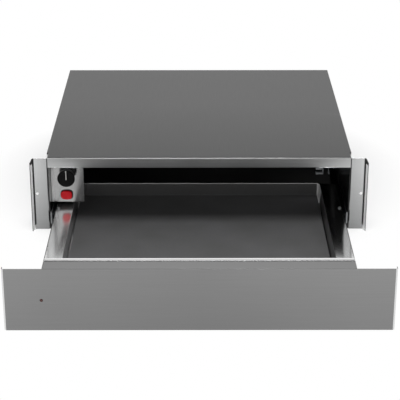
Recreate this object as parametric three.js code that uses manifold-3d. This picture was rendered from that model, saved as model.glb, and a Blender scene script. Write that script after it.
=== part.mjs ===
// Built-in warming drawer, shown pulled fully out of its casing.
//
// Millimetres, +Z up. The drawer comes out towards -Y. X is measured from the middle of the casing,
// Y from the front face of the mounting flanges, and Z from the underside of the casing.
// The finished group is then moved so that its origin is the middle of the casing's underside.

import * as THREE from 'three';
import { mergeVertices } from 'three/addons/utils/BufferGeometryUtils.js';
import Module from 'manifold-3d';

const wasm = await Module();
wasm.setup();

// Driving dimensions

const fitGap = 0.3; // between pieces that lie against each other
const past = 2; // how far a cutting tool reaches past the face that it opens

const casingDepth = 508;
const casingHeight = 136;
const casingSheet = 1;
const trayHalfWidth = 265;
const trayFront = 2;
const trayRear = casingDepth - 2;
const rearWallFront = trayRear - 1.5;
const coverFront = 2.2;
const coverHalfWidth = 268;
const coverNotchDepth = 25;
const coverSkirt = 14;
const coverSeat = 0.4; // between the tray's walls and the cover's underside

const barBottom = 116.4;
const barRound = 1.6;
const barLipDepth = 14;
const barLipDrop = 1.4;

const flangeHeight = 134.5;
const flangeFold = 290.5;
const flangeReturn = 22;
const flangeBend = 1.5;
const lipReach = 14;
const lipFlare = 3.8;
const flangeHoleX = 285.2;
const flangeHoleZ = 68.3;
const flangeHoleRadius = 2.6;
const flangeScrewY = 16;
const flangeScrewZ = { lower: 20, upper: 112 };

const controlFace = 34;
const controlLeft = -263.7;
const controlRight = -205.4;
const controlBottom = 38.7;
const controlTop = 133;
const knobX = -234.8;
const knobZ = 90.9;
const knobRadius = 15.6;
const knobTaper = 3.4;
const knobFront = 13;
const shaftRadius = 3;
const switchX = -236.4;
const switchZ = 52.8;
const switchWidth = 20.4;
const switchHeight = 16.2;
const switchTilt = THREE.MathUtils.degToRad(5);

const drawerFront = -381.1;
const drawerTravel = 352;
const panelHalfWidth = 297.5;
const panelBottom = 1;
const panelTop = 104.5;
const panelSheet = 1;
const panelBevel = 3;
const panelReturn = 8;
const panelTopReturn = 27;
const panelBottomReturn = 18;
const frontBoxHalfWidth = 235.6;
const frontBoxDepth = 39;
const frontBoxRound = 4.5;
const frontScrews = { left: -150, right: 150 };
const frontScrewZ = 17;
const lensX = -239;
const lensZ = 52;
const lensRadius = 2.1;

const ledgeHalfWidth = 256.3;
const ledgeTop = 30;
const ledgeRear = 136.2;
const ledgeScrewX = 251.9;
const ledgeScrewY = 24;
const tubHalfWidth = 225.1;
const tubFloorHalfWidth = 222.7;
const tubRear = 142.4;
const tubFloor = 5.9;
const tubSheet = 0.9;
const tubCorner = 5;
const tubFloorRound = 1;
const matHalfWidth = 220.6;
const matThickness = 1;

const railFront = 3;
const railLength = 400;
const railSheet = 1.1;
const casingRail = { back: 261.1, tip: 254.6, bottom: 7.5, top: 27.5 };
const middleRail = { back: 257.1, tip: 252.7, bottom: 9.3, top: 25.7 };
const drawerRail = { back: 250.2, tip: 254.8, bottom: 12.3, top: 22.7 };

const latchX = 235.5;
const latchZ = 19;
const latchFront = 296;
const plungerTip = 290;

const fanX = 0;
const fanY = 415;
const heaterHalfWidth = 110;
const heaterFront = 330;
const heaterRear = 500;
const heaterBottom = 98;
const heaterSheet = 0.8;
const ringRadius = 60;
const ringZ = 109;
const element = { radius: 3.2, endX: 16, tail: 490, end: 503, openDegrees: 30, stepDegrees: 15 };

const glandX = -200;
const glandZ = 96;
const glandRadius = 8;
const bulbX = -255;
const bulbZ = 46;
const bulbRadius = 3;

// Faces that follow from them

const trayWallTop = casingHeight - casingSheet - coverSeat;
const insideHalf = trayHalfWidth - casingSheet - fitGap;
const flangeInner = trayHalfWidth + fitGap;
const panelBack = drawerFront + panelSheet;
const frontBoxBack = drawerFront + frontBoxDepth;
const ledgeFront = frontBoxBack + fitGap;
const tubFront = ledgeFront + 8;
const ledgeUnderside = ledgeTop - tubSheet;

// Finishes

function steel(color, roughness) {
  return new THREE.MeshStandardMaterial({ color, roughness, metalness: 1 });
}

function plain(color, roughness) {
  return new THREE.MeshStandardMaterial({ color, roughness, metalness: 0 });
}

const brushedSteel = steel(0xa6a6a6, 0.35);
const polishedSteel = steel(0xc4c4c4, 0.15);
const coverSteel = steel(0x7c7c7c, 0.5);
const blackEnamel = plain(0x0f0f10, 0.55);
const zincSteel = steel(0x8d9093, 0.4);
const darkZinc = steel(0x3a3b3d, 0.45);
const matSilicone = plain(0x4b4c4d, 0.85);
const knobPlastic = plain(0x1b1b1c, 0.4);
const bezelPlastic = plain(0x0c0c0d, 0.35);
const redLens = plain(0xb01e28, 0.25);
const amberLens = plain(0x9c4a1c, 0.3);
const greyPlastic = plain(0x5b5d60, 0.5);
const heaterSheath = steel(0x6a6560, 0.5);
const copper = steel(0xb36a45, 0.35);
const loomSleeve = plain(0x202022, 0.7);

// Shape helpers

// Rotations that lay a shape's own plane across the axis named.
const axisTurn = {
  x: new THREE.Matrix4().makeBasis(
    new THREE.Vector3(0, 1, 0),
    new THREE.Vector3(0, 0, 1),
    new THREE.Vector3(1, 0, 0),
  ),
  y: new THREE.Matrix4().makeBasis(
    new THREE.Vector3(-1, 0, 0),
    new THREE.Vector3(0, 0, 1),
    new THREE.Vector3(0, 1, 0),
  ),
  z: new THREE.Matrix4(),
};

function outline(points) {
  return new THREE.Shape(points.map(([u, v]) => new THREE.Vector2(u, v)));
}

// A prism of a plane outline, whose points are (y, z) along x, (-x, z) along y and (x, y) along z.
function prism(axis, shape, from, to) {
  const solid = new THREE.ExtrudeGeometry(shape, { depth: to - from, bevelEnabled: false });
  solid.translate(0, 0, from);
  solid.applyMatrix4(axisTurn[axis]);
  return solid;
}

function alongX(points, from, to) {
  return prism('x', outline(points), from, to);
}

// A profile drawn in (x, z) and carried along y.
function alongY(points, from, to) {
  return prism('y', outline(points.map(([x, z]) => [-x, z])), from, to);
}

function alongZ(points, from, to) {
  return prism('z', outline(points), from, to);
}

function block(x0, x1, y0, y1, z0, z1) {
  const solid = new THREE.BoxGeometry(x1 - x0, y1 - y0, z1 - z0);
  solid.translate((x0 + x1) / 2, (y0 + y1) / 2, (z0 + z1) / 2);
  return solid;
}

// A block that reaches from one |x| to a larger one, on the side of the middle that `side` names.
function sideBlock(side, nearX, farX, ...rest) {
  return side > 0 ? block(nearX, farX, ...rest) : block(-farX, -nearX, ...rest);
}

// A turned piece: pairs of (radius, height), with height measured from the centre along the axis.
function turned(axis, profile, centre, segments = 24) {
  const solid = new THREE.LatheGeometry(
    profile.map(([radius, height]) => new THREE.Vector2(radius, height)),
    segments,
  );
  solid.rotateX(Math.PI / 2);
  solid.applyMatrix4(axisTurn[axis]);
  solid.translate(...centre);
  return solid;
}

function rod(axis, radius, from, to, centre, segments = 16) {
  return turned(axis, [[0, from], [radius, from], [radius, to], [0, to]], centre, segments);
}

function flatRing(inner, outer, thickness, centre, segments) {
  return turned(
    'z',
    [[inner, 0], [outer, 0], [outer, thickness], [inner, thickness], [inner, 0]],
    centre,
    segments,
  );
}

function asSolid(geometry) {
  const bare = geometry.clone();
  bare.deleteAttribute('normal');
  bare.deleteAttribute('uv');
  const merged = mergeVertices(bare, 1e-4);
  return new wasm.Manifold(
    new wasm.Mesh({
      numProp: 3,
      vertProperties: new Float32Array(merged.attributes.position.array),
      triVerts: new Uint32Array(merged.index.array),
    }),
  );
}

function asGeometry(solid) {
  const mesh = solid.getMesh();
  const geometry = new THREE.BufferGeometry();
  geometry.setAttribute('position', new THREE.BufferAttribute(mesh.vertProperties, 3));
  geometry.setIndex(new THREE.BufferAttribute(mesh.triVerts, 1));
  geometry.computeVertexNormals();
  return geometry;
}

function join(...parts) {
  return asGeometry(parts.map(asSolid).reduce((sum, part) => sum.add(part)));
}

function cut(body, ...tools) {
  return asGeometry(tools.map(asSolid).reduce((rest, tool) => rest.subtract(tool), asSolid(body)));
}

// The same piece on the other side of the casing's middle, with its faces still outward.
function mirrored(geometry) {
  const copy = geometry.clone();
  copy.scale(-1, 1, 1);
  const index = copy.index;
  for (let i = 0; i < index.count; i += 3) {
    const first = index.getX(i);
    index.setX(i, index.getX(i + 2));
    index.setX(i + 2, first);
  }
  copy.computeVertexNormals();
  return copy;
}

// Points of a rectangle with round corners, always the same number, so that rings can be lofted.
function roundRect(x0, x1, y0, y1, radius, steps = 5) {
  const corners = [
    [x1 - radius, y0 + radius, -90],
    [x1 - radius, y1 - radius, 0],
    [x0 + radius, y1 - radius, 90],
    [x0 + radius, y0 + radius, 180],
  ];
  return corners.flatMap(([cx, cy, start]) =>
    Array.from({ length: steps + 1 }, (_, i) => {
      const angle = THREE.MathUtils.degToRad(start + (90 * i) / steps);
      return [cx + radius * Math.cos(angle), cy + radius * Math.sin(angle)];
    }),
  );
}

function roundedOutline(width, height, radius) {
  return outline(roundRect(-width / 2, width / 2, -height / 2, height / 2, radius, 4));
}

// A closed solid through rings of equal point count, each { z, points }, with flat ends.
function loft(rings) {
  const count = rings[0].points.length;
  const positions = rings.flatMap(({ z, points }) => points.flatMap(([x, y]) => [x, y, z]));
  const faces = [];
  for (let ring = 0; ring + 1 < rings.length; ring += 1) {
    for (let i = 0; i < count; i += 1) {
      const a = ring * count + i;
      const b = ring * count + ((i + 1) % count);
      faces.push(a, b, b + count, a, b + count, a + count);
    }
  }
  const last = (rings.length - 1) * count;
  for (let i = 1; i + 1 < count; i += 1) {
    faces.push(0, i + 1, i);
    faces.push(last, last + i, last + i + 1);
  }
  const solid = new THREE.BufferGeometry();
  solid.setAttribute('position', new THREE.Float32BufferAttribute(positions, 3));
  solid.setIndex(faces);
  solid.computeVertexNormals();
  return solid;
}

// A round tube along points, with flat ends.
function tube(points, radius, steps, sideCount = 8) {
  const spots = points.map((point) => new THREE.Vector3(...point));
  const path = new THREE.CatmullRomCurve3(spots, false, 'centripetal');
  const corners = Array.from({ length: sideCount }, (_, i) => {
    const angle = (2 * Math.PI * i) / sideCount;
    return [radius * Math.cos(angle), radius * Math.sin(angle)];
  });
  return new THREE.ExtrudeGeometry(outline(corners), { steps, extrudePath: path, bevelEnabled: false });
}

// Screws: a low head on a short shank. The seat is the plane that the head lies on.
const headRadius = 3.4;
const headRim = 1;
const headHeight = 1.8;
const crownRadius = 2.4;
const shankRadius = 1.6;
const screwSegments = 10;

function screw(axis, outward, seat, shankLength) {
  const profile = [
    [0, -shankLength], [shankRadius, -shankLength], [shankRadius, 0], [headRadius, 0],
    [headRadius, headRim], [crownRadius, headHeight], [0, headHeight],
  ];
  const placed = outward > 0 ? profile : profile.map(([radius, height]) => [radius, -height]).reverse();
  return turned(axis, placed, seat, screwSegments);
}

function screwHole(axis, centre, reach = 6) {
  return rod(axis, shankRadius + fitGap, -reach, reach, centre, screwSegments);
}

// Sub-parts

const sides = [['left', -1], ['right', 1]];
const pieces = [];

function addPiece(name, geometry, material) {
  const mesh = new THREE.Mesh(geometry, material);
  mesh.name = name;
  pieces.push(mesh);
}

// Adds a right-hand piece and its mirror image.
function addPair(name, rightGeometry, material) {
  addPiece(`right_${name}`, rightGeometry, material);
  addPiece(`left_${name}`, mirrored(rightGeometry), material);
}

// The casing's floor and side walls are one bent sheet.
function addCasingTray() {
  const inner = trayHalfWidth - casingSheet;
  const profile = [
    [-trayHalfWidth, 0], [trayHalfWidth, 0], [trayHalfWidth, trayWallTop], [inner, trayWallTop],
    [inner, casingSheet], [-inner, casingSheet], [-inner, trayWallTop], [-trayHalfWidth, trayWallTop],
  ];
  const holes = sides.flatMap(([, side]) =>
    Object.values(flangeScrewZ).map((z) => screwHole('x', [side * trayHalfWidth, flangeScrewY, z])),
  );
  addPiece('casing_tray', cut(alongY(profile, trayFront, trayRear), ...holes), coverSteel);
}

// The cover is a lid with turned-down sides and back, narrower for its first stretch.
function addCasingCover() {
  const underside = casingHeight - casingSheet;
  const skirtBottom = casingHeight - coverSkirt;
  const lid = alongZ(
    [
      [-trayHalfWidth, coverFront], [trayHalfWidth, coverFront], [trayHalfWidth, coverNotchDepth],
      [coverHalfWidth, coverNotchDepth], [coverHalfWidth, casingDepth], [-coverHalfWidth, casingDepth],
      [-coverHalfWidth, coverNotchDepth], [-trayHalfWidth, coverNotchDepth],
    ],
    skirtBottom,
    casingHeight,
  );
  const inside = coverHalfWidth - casingSheet;
  const wide = coverHalfWidth + past;
  const low = skirtBottom - past;
  const hollow = block(-inside, inside, coverNotchDepth - past, casingDepth - casingSheet, low, underside);
  const belowNose = block(-wide, wide, coverFront - past, coverNotchDepth, low, underside);
  addPiece('casing_cover', cut(lid, hollow, belowNose), coverSteel);
}

// The rear wall has two rows of vent slots and the hole for the cable gland.
function addRearWall() {
  const vent = { columns: 13, pitch: 16, width: 4, height: 8, rows: [66, 84] };
  const from = rearWallFront - past;
  const to = rearWallFront + casingSheet + past;
  const plate = block(-insideHalf, insideHalf, rearWallFront, rearWallFront + casingSheet,
    casingSheet + fitGap, trayWallTop);
  const slots = vent.rows.flatMap((z) =>
    Array.from({ length: vent.columns }, (_, column) => {
      const x = (column - (vent.columns - 1) / 2) * vent.pitch;
      return block(x - vent.width / 2, x + vent.width / 2, from, to, z, z + vent.height);
    }),
  );
  const glandHole = rod('y', glandRadius + fitGap, from, to, [glandX, 0, glandZ]);
  addPiece('rear_wall', cut(plate, ...slots, glandHole), coverSteel);
}

// The bar across the top of the opening is a C-section with rounded front edges.
// Its lips end inside the tray's walls, and the cover lies on the upper one.
function addFrontBar() {
  const top = casingHeight;
  const near = 0.3 * barRound; // a round edge's middle point, as far in from both faces
  const noseDepth = 1.9;
  const lipTop = top - barLipDrop;
  const profile = [
    [0, barBottom + barRound], [0, top - barRound], [near, top - near], [barRound, top],
    [noseDepth, top], [noseDepth, lipTop], [barLipDepth, lipTop], [barLipDepth, lipTop - casingSheet],
    [casingSheet, lipTop - casingSheet], [casingSheet, barBottom + casingSheet],
    [barLipDepth, barBottom + casingSheet], [barLipDepth, barBottom], [barRound, barBottom],
    [near, barBottom + near],
  ];
  const body = alongX(profile, -trayHalfWidth, trayHalfWidth);
  const clearance = sides.map(([, side]) =>
    sideBlock(side, insideHalf, trayHalfWidth + past, trayFront - fitGap, barLipDepth + past,
      barBottom - past, top - casingSheet),
  );
  addPiece('front_bar', cut(body, ...clearance), brushedSteel);
}

// A mounting flange: a return screwed to the casing's side, a flat face, and a springy lip.
function mountingFlange() {
  const sheet = casingSheet;
  const near = 0.3 * flangeBend;
  const lipX = flangeFold + lipFlare;
  const profile = [
    [flangeInner, flangeReturn], [flangeInner, flangeBend], [flangeInner + near, near],
    [flangeInner + flangeBend, 0], [flangeFold - 0.2, 0], [lipX - 0.6, -lipReach],
    [lipX + 0.4, 0.2 - lipReach], [flangeFold + 0.8, sheet], [flangeInner + sheet, sheet],
    [flangeInner + sheet, flangeReturn],
  ];
  const bottom = 0.5;
  const lipStart = flangeFold + 0.2;
  const lipEnd = flangeFold + 10;
  const lipPast = -lipReach - past;
  const slant = { top: 4.6, rise: 1, bottom: 2.6 };
  const above = flangeHeight + slant.rise;
  const topCorner = alongX(
    [[-0.4, above], [lipPast, flangeHeight - slant.top], [lipPast, above]],
    lipStart,
    lipEnd,
  );
  const bottomCorner = alongX([[-0.4, 0], [lipPast, 0], [lipPast, slant.bottom]], lipStart, lipEnd);
  const hole = rod('y', flangeHoleRadius, -past, sheet + past, [flangeHoleX, 0, flangeHoleZ]);
  const screwHoles = Object.values(flangeScrewZ).map((z) =>
    screwHole('x', [flangeInner, flangeScrewY, z]),
  );
  return cut(alongZ(profile, bottom, flangeHeight), topCorner, bottomCorner, hole, ...screwHoles);
}

function addFlanges() {
  addPair('mounting_flange', mountingFlange(), brushedSteel);
  const seatX = flangeInner + casingSheet + fitGap;
  const shankLength = 3;
  for (const [sideName, side] of sides) {
    for (const [heightName, z] of Object.entries(flangeScrewZ)) {
      const flangeScrew = screw('x', side, [side * seatX, flangeScrewY, z], shankLength);
      addPiece(`${sideName}_${heightName}_flange_screw`, flangeScrew, zincSteel);
    }
  }
}

// The steel plate behind the front bar that carries the thermostat and the switch.
function addControlPlate() {
  const sheet = casingSheet;
  const sideDepth = 62;
  const topDepth = 30;
  const shaftHoleRadius = 5;
  const [left, right, bottom, top] = [controlLeft, controlRight, controlBottom, controlTop];
  const back = controlFace + sheet;
  const face = block(left, right, controlFace, back, bottom, top);
  const wall = block(right - sheet, right, controlFace, controlFace + sideDepth, bottom, top);
  const floor = block(left, right, controlFace, controlFace + sideDepth, bottom, bottom + sheet);
  const roof = block(left, right, controlFace, controlFace + topDepth, top - sheet, top);
  const shaftHole = rod('y', shaftHoleRadius, controlFace - past, back + past, [knobX, 0, knobZ]);
  const switchHole = block(switchX - 9.3, switchX + 9.3, controlFace - past, back + past,
    switchZ - 6, switchZ + 6);
  addPiece('control_plate', cut(join(face, wall, floor, roof), shaftHole, switchHole), polishedSteel);
}

const thermostatFront = controlFace + casingSheet + fitGap;

// The thermostat: a square moulded base, a round can behind it and three blade terminals below.
function addThermostat() {
  const base = { half: 17, depth: 20 };
  const can = { radius: 14, depth: 10 };
  const blade = { pitch: 10, half: 3, length: 9, from: 8, thickness: 0.8 };
  const boreDepth = 8;
  const back = thermostatFront + base.depth;
  const centre = [knobX, 0, knobZ];
  const square = block(knobX - base.half, knobX + base.half, thermostatFront, back,
    knobZ - base.half, knobZ + base.half);
  const round = rod('y', can.radius, back - past, back + can.depth, centre, 20);
  const bladeY = thermostatFront + blade.from;
  const bladeTop = knobZ - base.half + past;
  const blades = [-1, 0, 1].map((place) => {
    const x = knobX + place * blade.pitch;
    return block(x - blade.half, x + blade.half, bladeY, bladeY + blade.thickness,
      knobZ - base.half - blade.length, bladeTop);
  });
  const bore = rod('y', shaftRadius + fitGap, thermostatFront - past, thermostatFront + boreDepth, centre);
  addPiece('thermostat_body', cut(join(square, round, ...blades), bore), greyPlastic);
}

// The knob is a deep, tapered disc with a pointer groove from its middle to its rim.
function addKnob() {
  const back = controlFace - 0.8;
  const edge = 1.2;
  const grooveHalf = 0.9;
  const grooveDepth = 0.6;
  const socketFront = knobFront + 8;
  const centre = [knobX, 0, knobZ];
  const body = turned(
    'y',
    [[0, knobFront], [knobRadius - edge, knobFront], [knobRadius, knobFront + edge],
      [knobRadius - knobTaper, back], [0, back]],
    centre,
    32,
  );
  const socket = rod('y', shaftRadius + fitGap, socketFront, back + past, centre);
  const groove = block(knobX - grooveHalf, knobX + grooveHalf, knobFront - past, knobFront + grooveDepth,
    knobZ - 2, knobZ + knobRadius + past);
  addPiece('control_knob', cut(body, socket, groove), knobPlastic);
  const shaft = rod('y', shaftRadius, socketFront + 0.4, thermostatFront + 7.6, centre);
  addPiece('thermostat_shaft', shaft, zincSteel);
}

// The mains switch: a bezel and housing snapped into the plate, and a red rocker on a pivot pin.
// It is drawn about the middle of its face and then moved to its place.
function addSwitch() {
  const pivotY = controlFace + 3;
  const bezelFront = controlFace - 1.6;
  const barrelHalf = [8.9, 5.7];
  const windowHalf = [7.9, 4.9];
  const stemHalf = [5.6, 4.2];
  const pinRadius = 1;
  const bezel = prism('y', roundedOutline(switchWidth + 2, switchHeight + 2, 7.6), bezelFront,
    controlFace - fitGap);
  const barrel = block(-barrelHalf[0], barrelHalf[0], controlFace - 1, controlFace + 20,
    -barrelHalf[1], barrelHalf[1]);
  const window = block(-windowHalf[0], windowHalf[0], bezelFront - past, controlFace + 12,
    -windowHalf[1], windowHalf[1]);
  const recess = prism('y', roundedOutline(switchWidth + 0.6, switchHeight + 0.6, 7),
    bezelFront - past, controlFace - 0.9);
  const housing = cut(join(bezel, barrel), recess, window);
  housing.translate(switchX, 0, switchZ);
  addPiece('switch_housing', housing, bezelPlastic);

  const cap = prism('y', roundedOutline(switchWidth - 1, switchHeight - 0.6, 6.4), controlFace - 5.6,
    controlFace - 1.9);
  const stem = block(-stemHalf[0], stemHalf[0], controlFace - 3, controlFace + 6, -stemHalf[1], stemHalf[1]);
  const pinHole = rod('z', pinRadius + fitGap, -6, 6, [0, pivotY, 0], 12);
  const rocker = cut(join(cap, stem), pinHole);
  rocker.translate(0, -pivotY, 0);
  rocker.rotateZ(-switchTilt);
  rocker.translate(switchX, pivotY, switchZ);
  addPiece('switch_rocker', rocker, redLens);
  const pin = rod('z', pinRadius, -windowHalf[1] + fitGap, windowHalf[1] - fitGap,
    [switchX, pivotY, switchZ], 12);
  addPiece('switch_pivot_pin', pin, zincSteel);
}

// A telescopic slide's rail, right-hand side: a C-section whose web stands at `back` and whose
// flanges reach to `tip`, either way.
function railSection({ back, tip, bottom, top }, from) {
  const face = back + Math.sign(tip - back) * railSheet;
  const low = bottom + railSheet;
  const high = top - railSheet;
  const section = alongY(
    [[back, bottom], [tip, bottom], [tip, low], [face, low], [face, high], [tip, high], [tip, top],
      [back, top]],
    from,
    from + railLength,
  );
  return asGeometry(asSolid(section));
}

// Each slide has three nested rails, shown drawn out, and a bracket that holds it to the casing.
function addSlides() {
  addPair('slide_casing_rail', railSection(casingRail, railFront), darkZinc);
  addPair('slide_middle_rail', railSection(middleRail, railFront - drawerTravel / 2), darkZinc);
  addPair('slide_drawer_rail', railSection(drawerRail, railFront - drawerTravel), zincSteel);

  const bracket = { inner: casingRail.back + fitGap, bottom: 4, top: 31, overhang: 20 };
  const foot = { length: 6, bottom: 10 };
  const rear = railFront + railLength + bracket.overhang;
  const plate = block(bracket.inner, bracket.inner + casingSheet, railFront, rear, bracket.bottom,
    bracket.top);
  const middle = (railFront + rear - foot.length) / 2;
  const feet = [railFront, middle, rear - foot.length].map((y) =>
    block(bracket.inner + 0.5, insideHalf, y, y + foot.length, foot.bottom, bracket.top),
  );
  addPair('slide_bracket', join(plate, ...feet), zincSteel);
}

// Small bent clips that stand on the casing floor beside the closed drawer's well.
function channelClip(x0, x1, height) {
  const sheet = 1.2;
  const [front, length] = [259, 12];
  const z0 = casingSheet + fitGap;
  const z1 = z0 + height;
  const section = alongY(
    [[x0, z0], [x1, z0], [x1, z1], [x0, z1], [x0, z1 - sheet], [x1 - sheet, z1 - sheet],
      [x1 - sheet, z0 + sheet], [x0, z0 + sheet]],
    front,
    front + length,
  );
  return asGeometry(asSolid(section));
}

function addFloorClips() {
  addPair('inner_floor_clip', channelClip(228.5, 243, 11.1), zincSteel);
  addPair('outer_floor_clip', channelClip(253, 260.9, 5.8), zincSteel);
}

// Touch latch: the drawer has no handle, so a push on its front lets it spring out a little.
function addLatch() {
  const body = { half: 6, depth: 58, bore: 20 };
  const plunger = { radius: 3, inside: 10 };
  const centre = [latchX, 0, latchZ];
  const box = block(latchX - body.half, latchX + body.half, latchFront, latchFront + body.depth,
    casingSheet + fitGap, latchZ + body.half);
  const bore = rod('y', plunger.radius + 0.4, latchFront - past, latchFront + body.bore, centre, 12);
  addPiece('latch_body', cut(box, bore), greyPlastic);
  const pin = rod('y', plunger.radius, plungerTip, latchFront + plunger.inside, centre, 12);
  addPiece('latch_plunger', pin, bezelPlastic);
}

// Warm-air unit under the rear of the cover. First its tray, which has a round intake below,
// outlets in its front wall and holes for the element's ends in its back wall.
function addHeaterTray() {
  const sheet = heaterSheet;
  const outlet = { columns: 7, pitch: 28, half: 10, bottom: 106, top: 118 };
  const intakeRadius = 36;
  const innerHalf = heaterHalfWidth - sheet;
  const shell = block(-heaterHalfWidth, heaterHalfWidth, heaterFront, heaterRear, heaterBottom, trayWallTop);
  const inner = block(-innerHalf, innerHalf, heaterFront + sheet, heaterRear - sheet, heaterBottom + sheet,
    trayWallTop + past);
  const intake = rod('z', intakeRadius, heaterBottom - past, heaterBottom + sheet + past,
    [fanX, fanY, 0], 28);
  const outlets = Array.from({ length: outlet.columns }, (_, column) => {
    const x = (column - (outlet.columns - 1) / 2) * outlet.pitch;
    return block(x - outlet.half, x + outlet.half, heaterFront - past, heaterFront + sheet + past,
      outlet.bottom, outlet.top);
  });
  const elementHoles = sides.map(([, side]) =>
    rod('y', element.radius + 1, heaterRear - sheet - past, heaterRear + past,
      [side * element.endX, 0, ringZ], 12),
  );
  addPiece('heater_tray', cut(shell, inner, intake, ...outlets, ...elementHoles), blackEnamel);
}

// The guard under the intake: two flat rings joined by three bars.
function addFanGuard() {
  const thickness = 1;
  const z = heaterBottom - fitGap - thickness;
  const bar = { halfLength: 39, halfWidth: 1.2 };
  const rim = flatRing(37, 42, thickness, [fanX, fanY, z], 28);
  const ring = flatRing(19, 21, thickness, [fanX, fanY, z], 24);
  const bars = [0, 60, 120].map((angle) => {
    const strip = block(-bar.halfLength, bar.halfLength, -bar.halfWidth, bar.halfWidth, 0, thickness);
    strip.rotateZ(THREE.MathUtils.degToRad(angle));
    strip.translate(fanX, fanY, z);
    return strip;
  });
  addPiece('fan_guard', join(rim, ring, ...bars), blackEnamel);
}

// The fan: a wheel with straight blades below a disc, on the motor's shaft.
function addFan() {
  const wheel = { radius: 44, bottom: 103, top: 116, disc: 1.2 };
  const hubRadius = 12;
  const blade = { count: 14, thickness: 1.2, tip: 43.5 };
  const shaft = { radius: 2, bottom: 105.3, top: 124 };
  const centre = [fanX, fanY, 0];
  const hub = rod('z', hubRadius, wheel.bottom, wheel.top, centre, 20);
  const disc = rod('z', wheel.radius, wheel.top - wheel.disc, wheel.top, centre, 32);
  const blades = Array.from({ length: blade.count }, (_, i) => {
    const strip = block(hubRadius - 1, blade.tip, -blade.thickness / 2, blade.thickness / 2,
      wheel.bottom, wheel.top - 1);
    strip.rotateZ((2 * Math.PI * i) / blade.count);
    strip.translate(fanX, fanY, 0);
    return strip;
  });
  const shaftHole = rod('z', shaft.radius + fitGap, shaft.bottom - fitGap, wheel.top + past, centre, 12);
  addPiece('fan_impeller', cut(join(hub, disc, ...blades), shaftHole), zincSteel);
  addPiece('fan_shaft', rod('z', shaft.radius, shaft.bottom, shaft.top, centre, 12), zincSteel);

  const motor = { radius: 21, bottom: 119, top: 132 };
  const strap = { halfLength: 52, halfWidth: 7 };
  const can = rod('z', motor.radius, motor.bottom, motor.top, centre, 24);
  const bar = block(-strap.halfLength, strap.halfLength, fanY - strap.halfWidth, fanY + strap.halfWidth,
    motor.top, trayWallTop - fitGap);
  const bore = rod('z', shaft.radius + 0.4, motor.bottom - past, shaft.top + 1, centre, 12);
  addPiece('fan_motor', cut(join(can, bar), bore), greyPlastic);
}

// The ring element: most of a circle round the fan, with both ends led out through the back wall.
function addElement() {
  const from = 90 + element.openDegrees / 2;
  const to = 450 - element.openDegrees / 2;
  const count = (to - from) / element.stepDegrees + 1;
  const arc = Array.from({ length: count }, (_, i) => {
    const angle = THREE.MathUtils.degToRad(from + i * element.stepDegrees);
    return [fanX + ringRadius * Math.cos(angle), fanY + ringRadius * Math.sin(angle), ringZ];
  });
  const route = [
    [-element.endX, element.end, ringZ], [-element.endX, element.tail, ringZ], ...arc,
    [element.endX, element.tail, ringZ], [element.endX, element.end, ringZ],
  ];
  addPiece('ring_element', tube(route, element.radius, 60), heaterSheath);

  const half = 5;
  const floor = heaterBottom + heaterSheet + fitGap;
  const postTop = ringZ - element.radius - 0.4;
  const x = fanX + ringRadius;
  const post = asGeometry(asSolid(block(x - half, x + half, fanY - half, fanY + half, floor, postTop)));
  addPair('element_support', post, zincSteel);
  const cutout = { x: -82, y: 470, radius: 9, height: 6, capRadius: 4, capTop: 10 };
  addPiece(
    'safety_cutout',
    turned(
      'z',
      [[0, 0], [cutout.radius, 0], [cutout.radius, cutout.height], [cutout.capRadius, cutout.height],
        [cutout.capRadius, cutout.capTop], [0, cutout.capTop]],
      [cutout.x, cutout.y, floor],
      16,
    ),
    bezelPlastic,
  );
}

// Mains inlet: a gland in the rear wall, and the terminal block on its bracket in front of it.
function addInlet() {
  const bore = 3.6;
  const flange = glandRadius + 3;
  const headFront = rearWallFront - 8;
  const headBack = rearWallFront - fitGap;
  const nutFront = rearWallFront + casingSheet + fitGap;
  const nutBack = casingDepth + 4;
  const gland = turned(
    'y',
    [[bore, headFront], [flange, headFront], [flange, headBack], [glandRadius, headBack],
      [glandRadius, nutFront], [glandRadius + 2, nutFront], [glandRadius + 1, nutBack], [bore, nutBack],
      [bore, headFront]],
    [glandX, 0, glandZ],
    20,
  );
  addPiece('inlet_gland', gland, bezelPlastic);

  const terminal = { left: glandX - 42, right: glandX - 16, front: 470, back: 500, bottom: 84, top: 110 };
  const well = { radius: 2.2, pitch: 7, depth: 6 };
  const base = block(terminal.left, terminal.right, terminal.front, terminal.back, terminal.bottom,
    terminal.top);
  const middleX = (terminal.left + terminal.right) / 2;
  const middleY = (terminal.front + terminal.back) / 2;
  const wells = [-1, 0, 1].map((place) =>
    rod('z', well.radius, terminal.top - well.depth, terminal.top + past,
      [middleX + place * well.pitch, middleY, 0], 10),
  );
  addPiece('terminal_block', cut(base, ...wells), greyPlastic);
  const sheet = 1.2;
  const legTop = terminal.bottom - 0.4;
  const legBottom = legTop - sheet;
  const leg = block(-insideHalf, terminal.right, terminal.front, terminal.back, legBottom, legTop);
  const foot = block(-insideHalf, -insideHalf + sheet, terminal.front, terminal.back, 60, legTop);
  addPiece('terminal_bracket', join(leg, foot), zincSteel);
}

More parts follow.
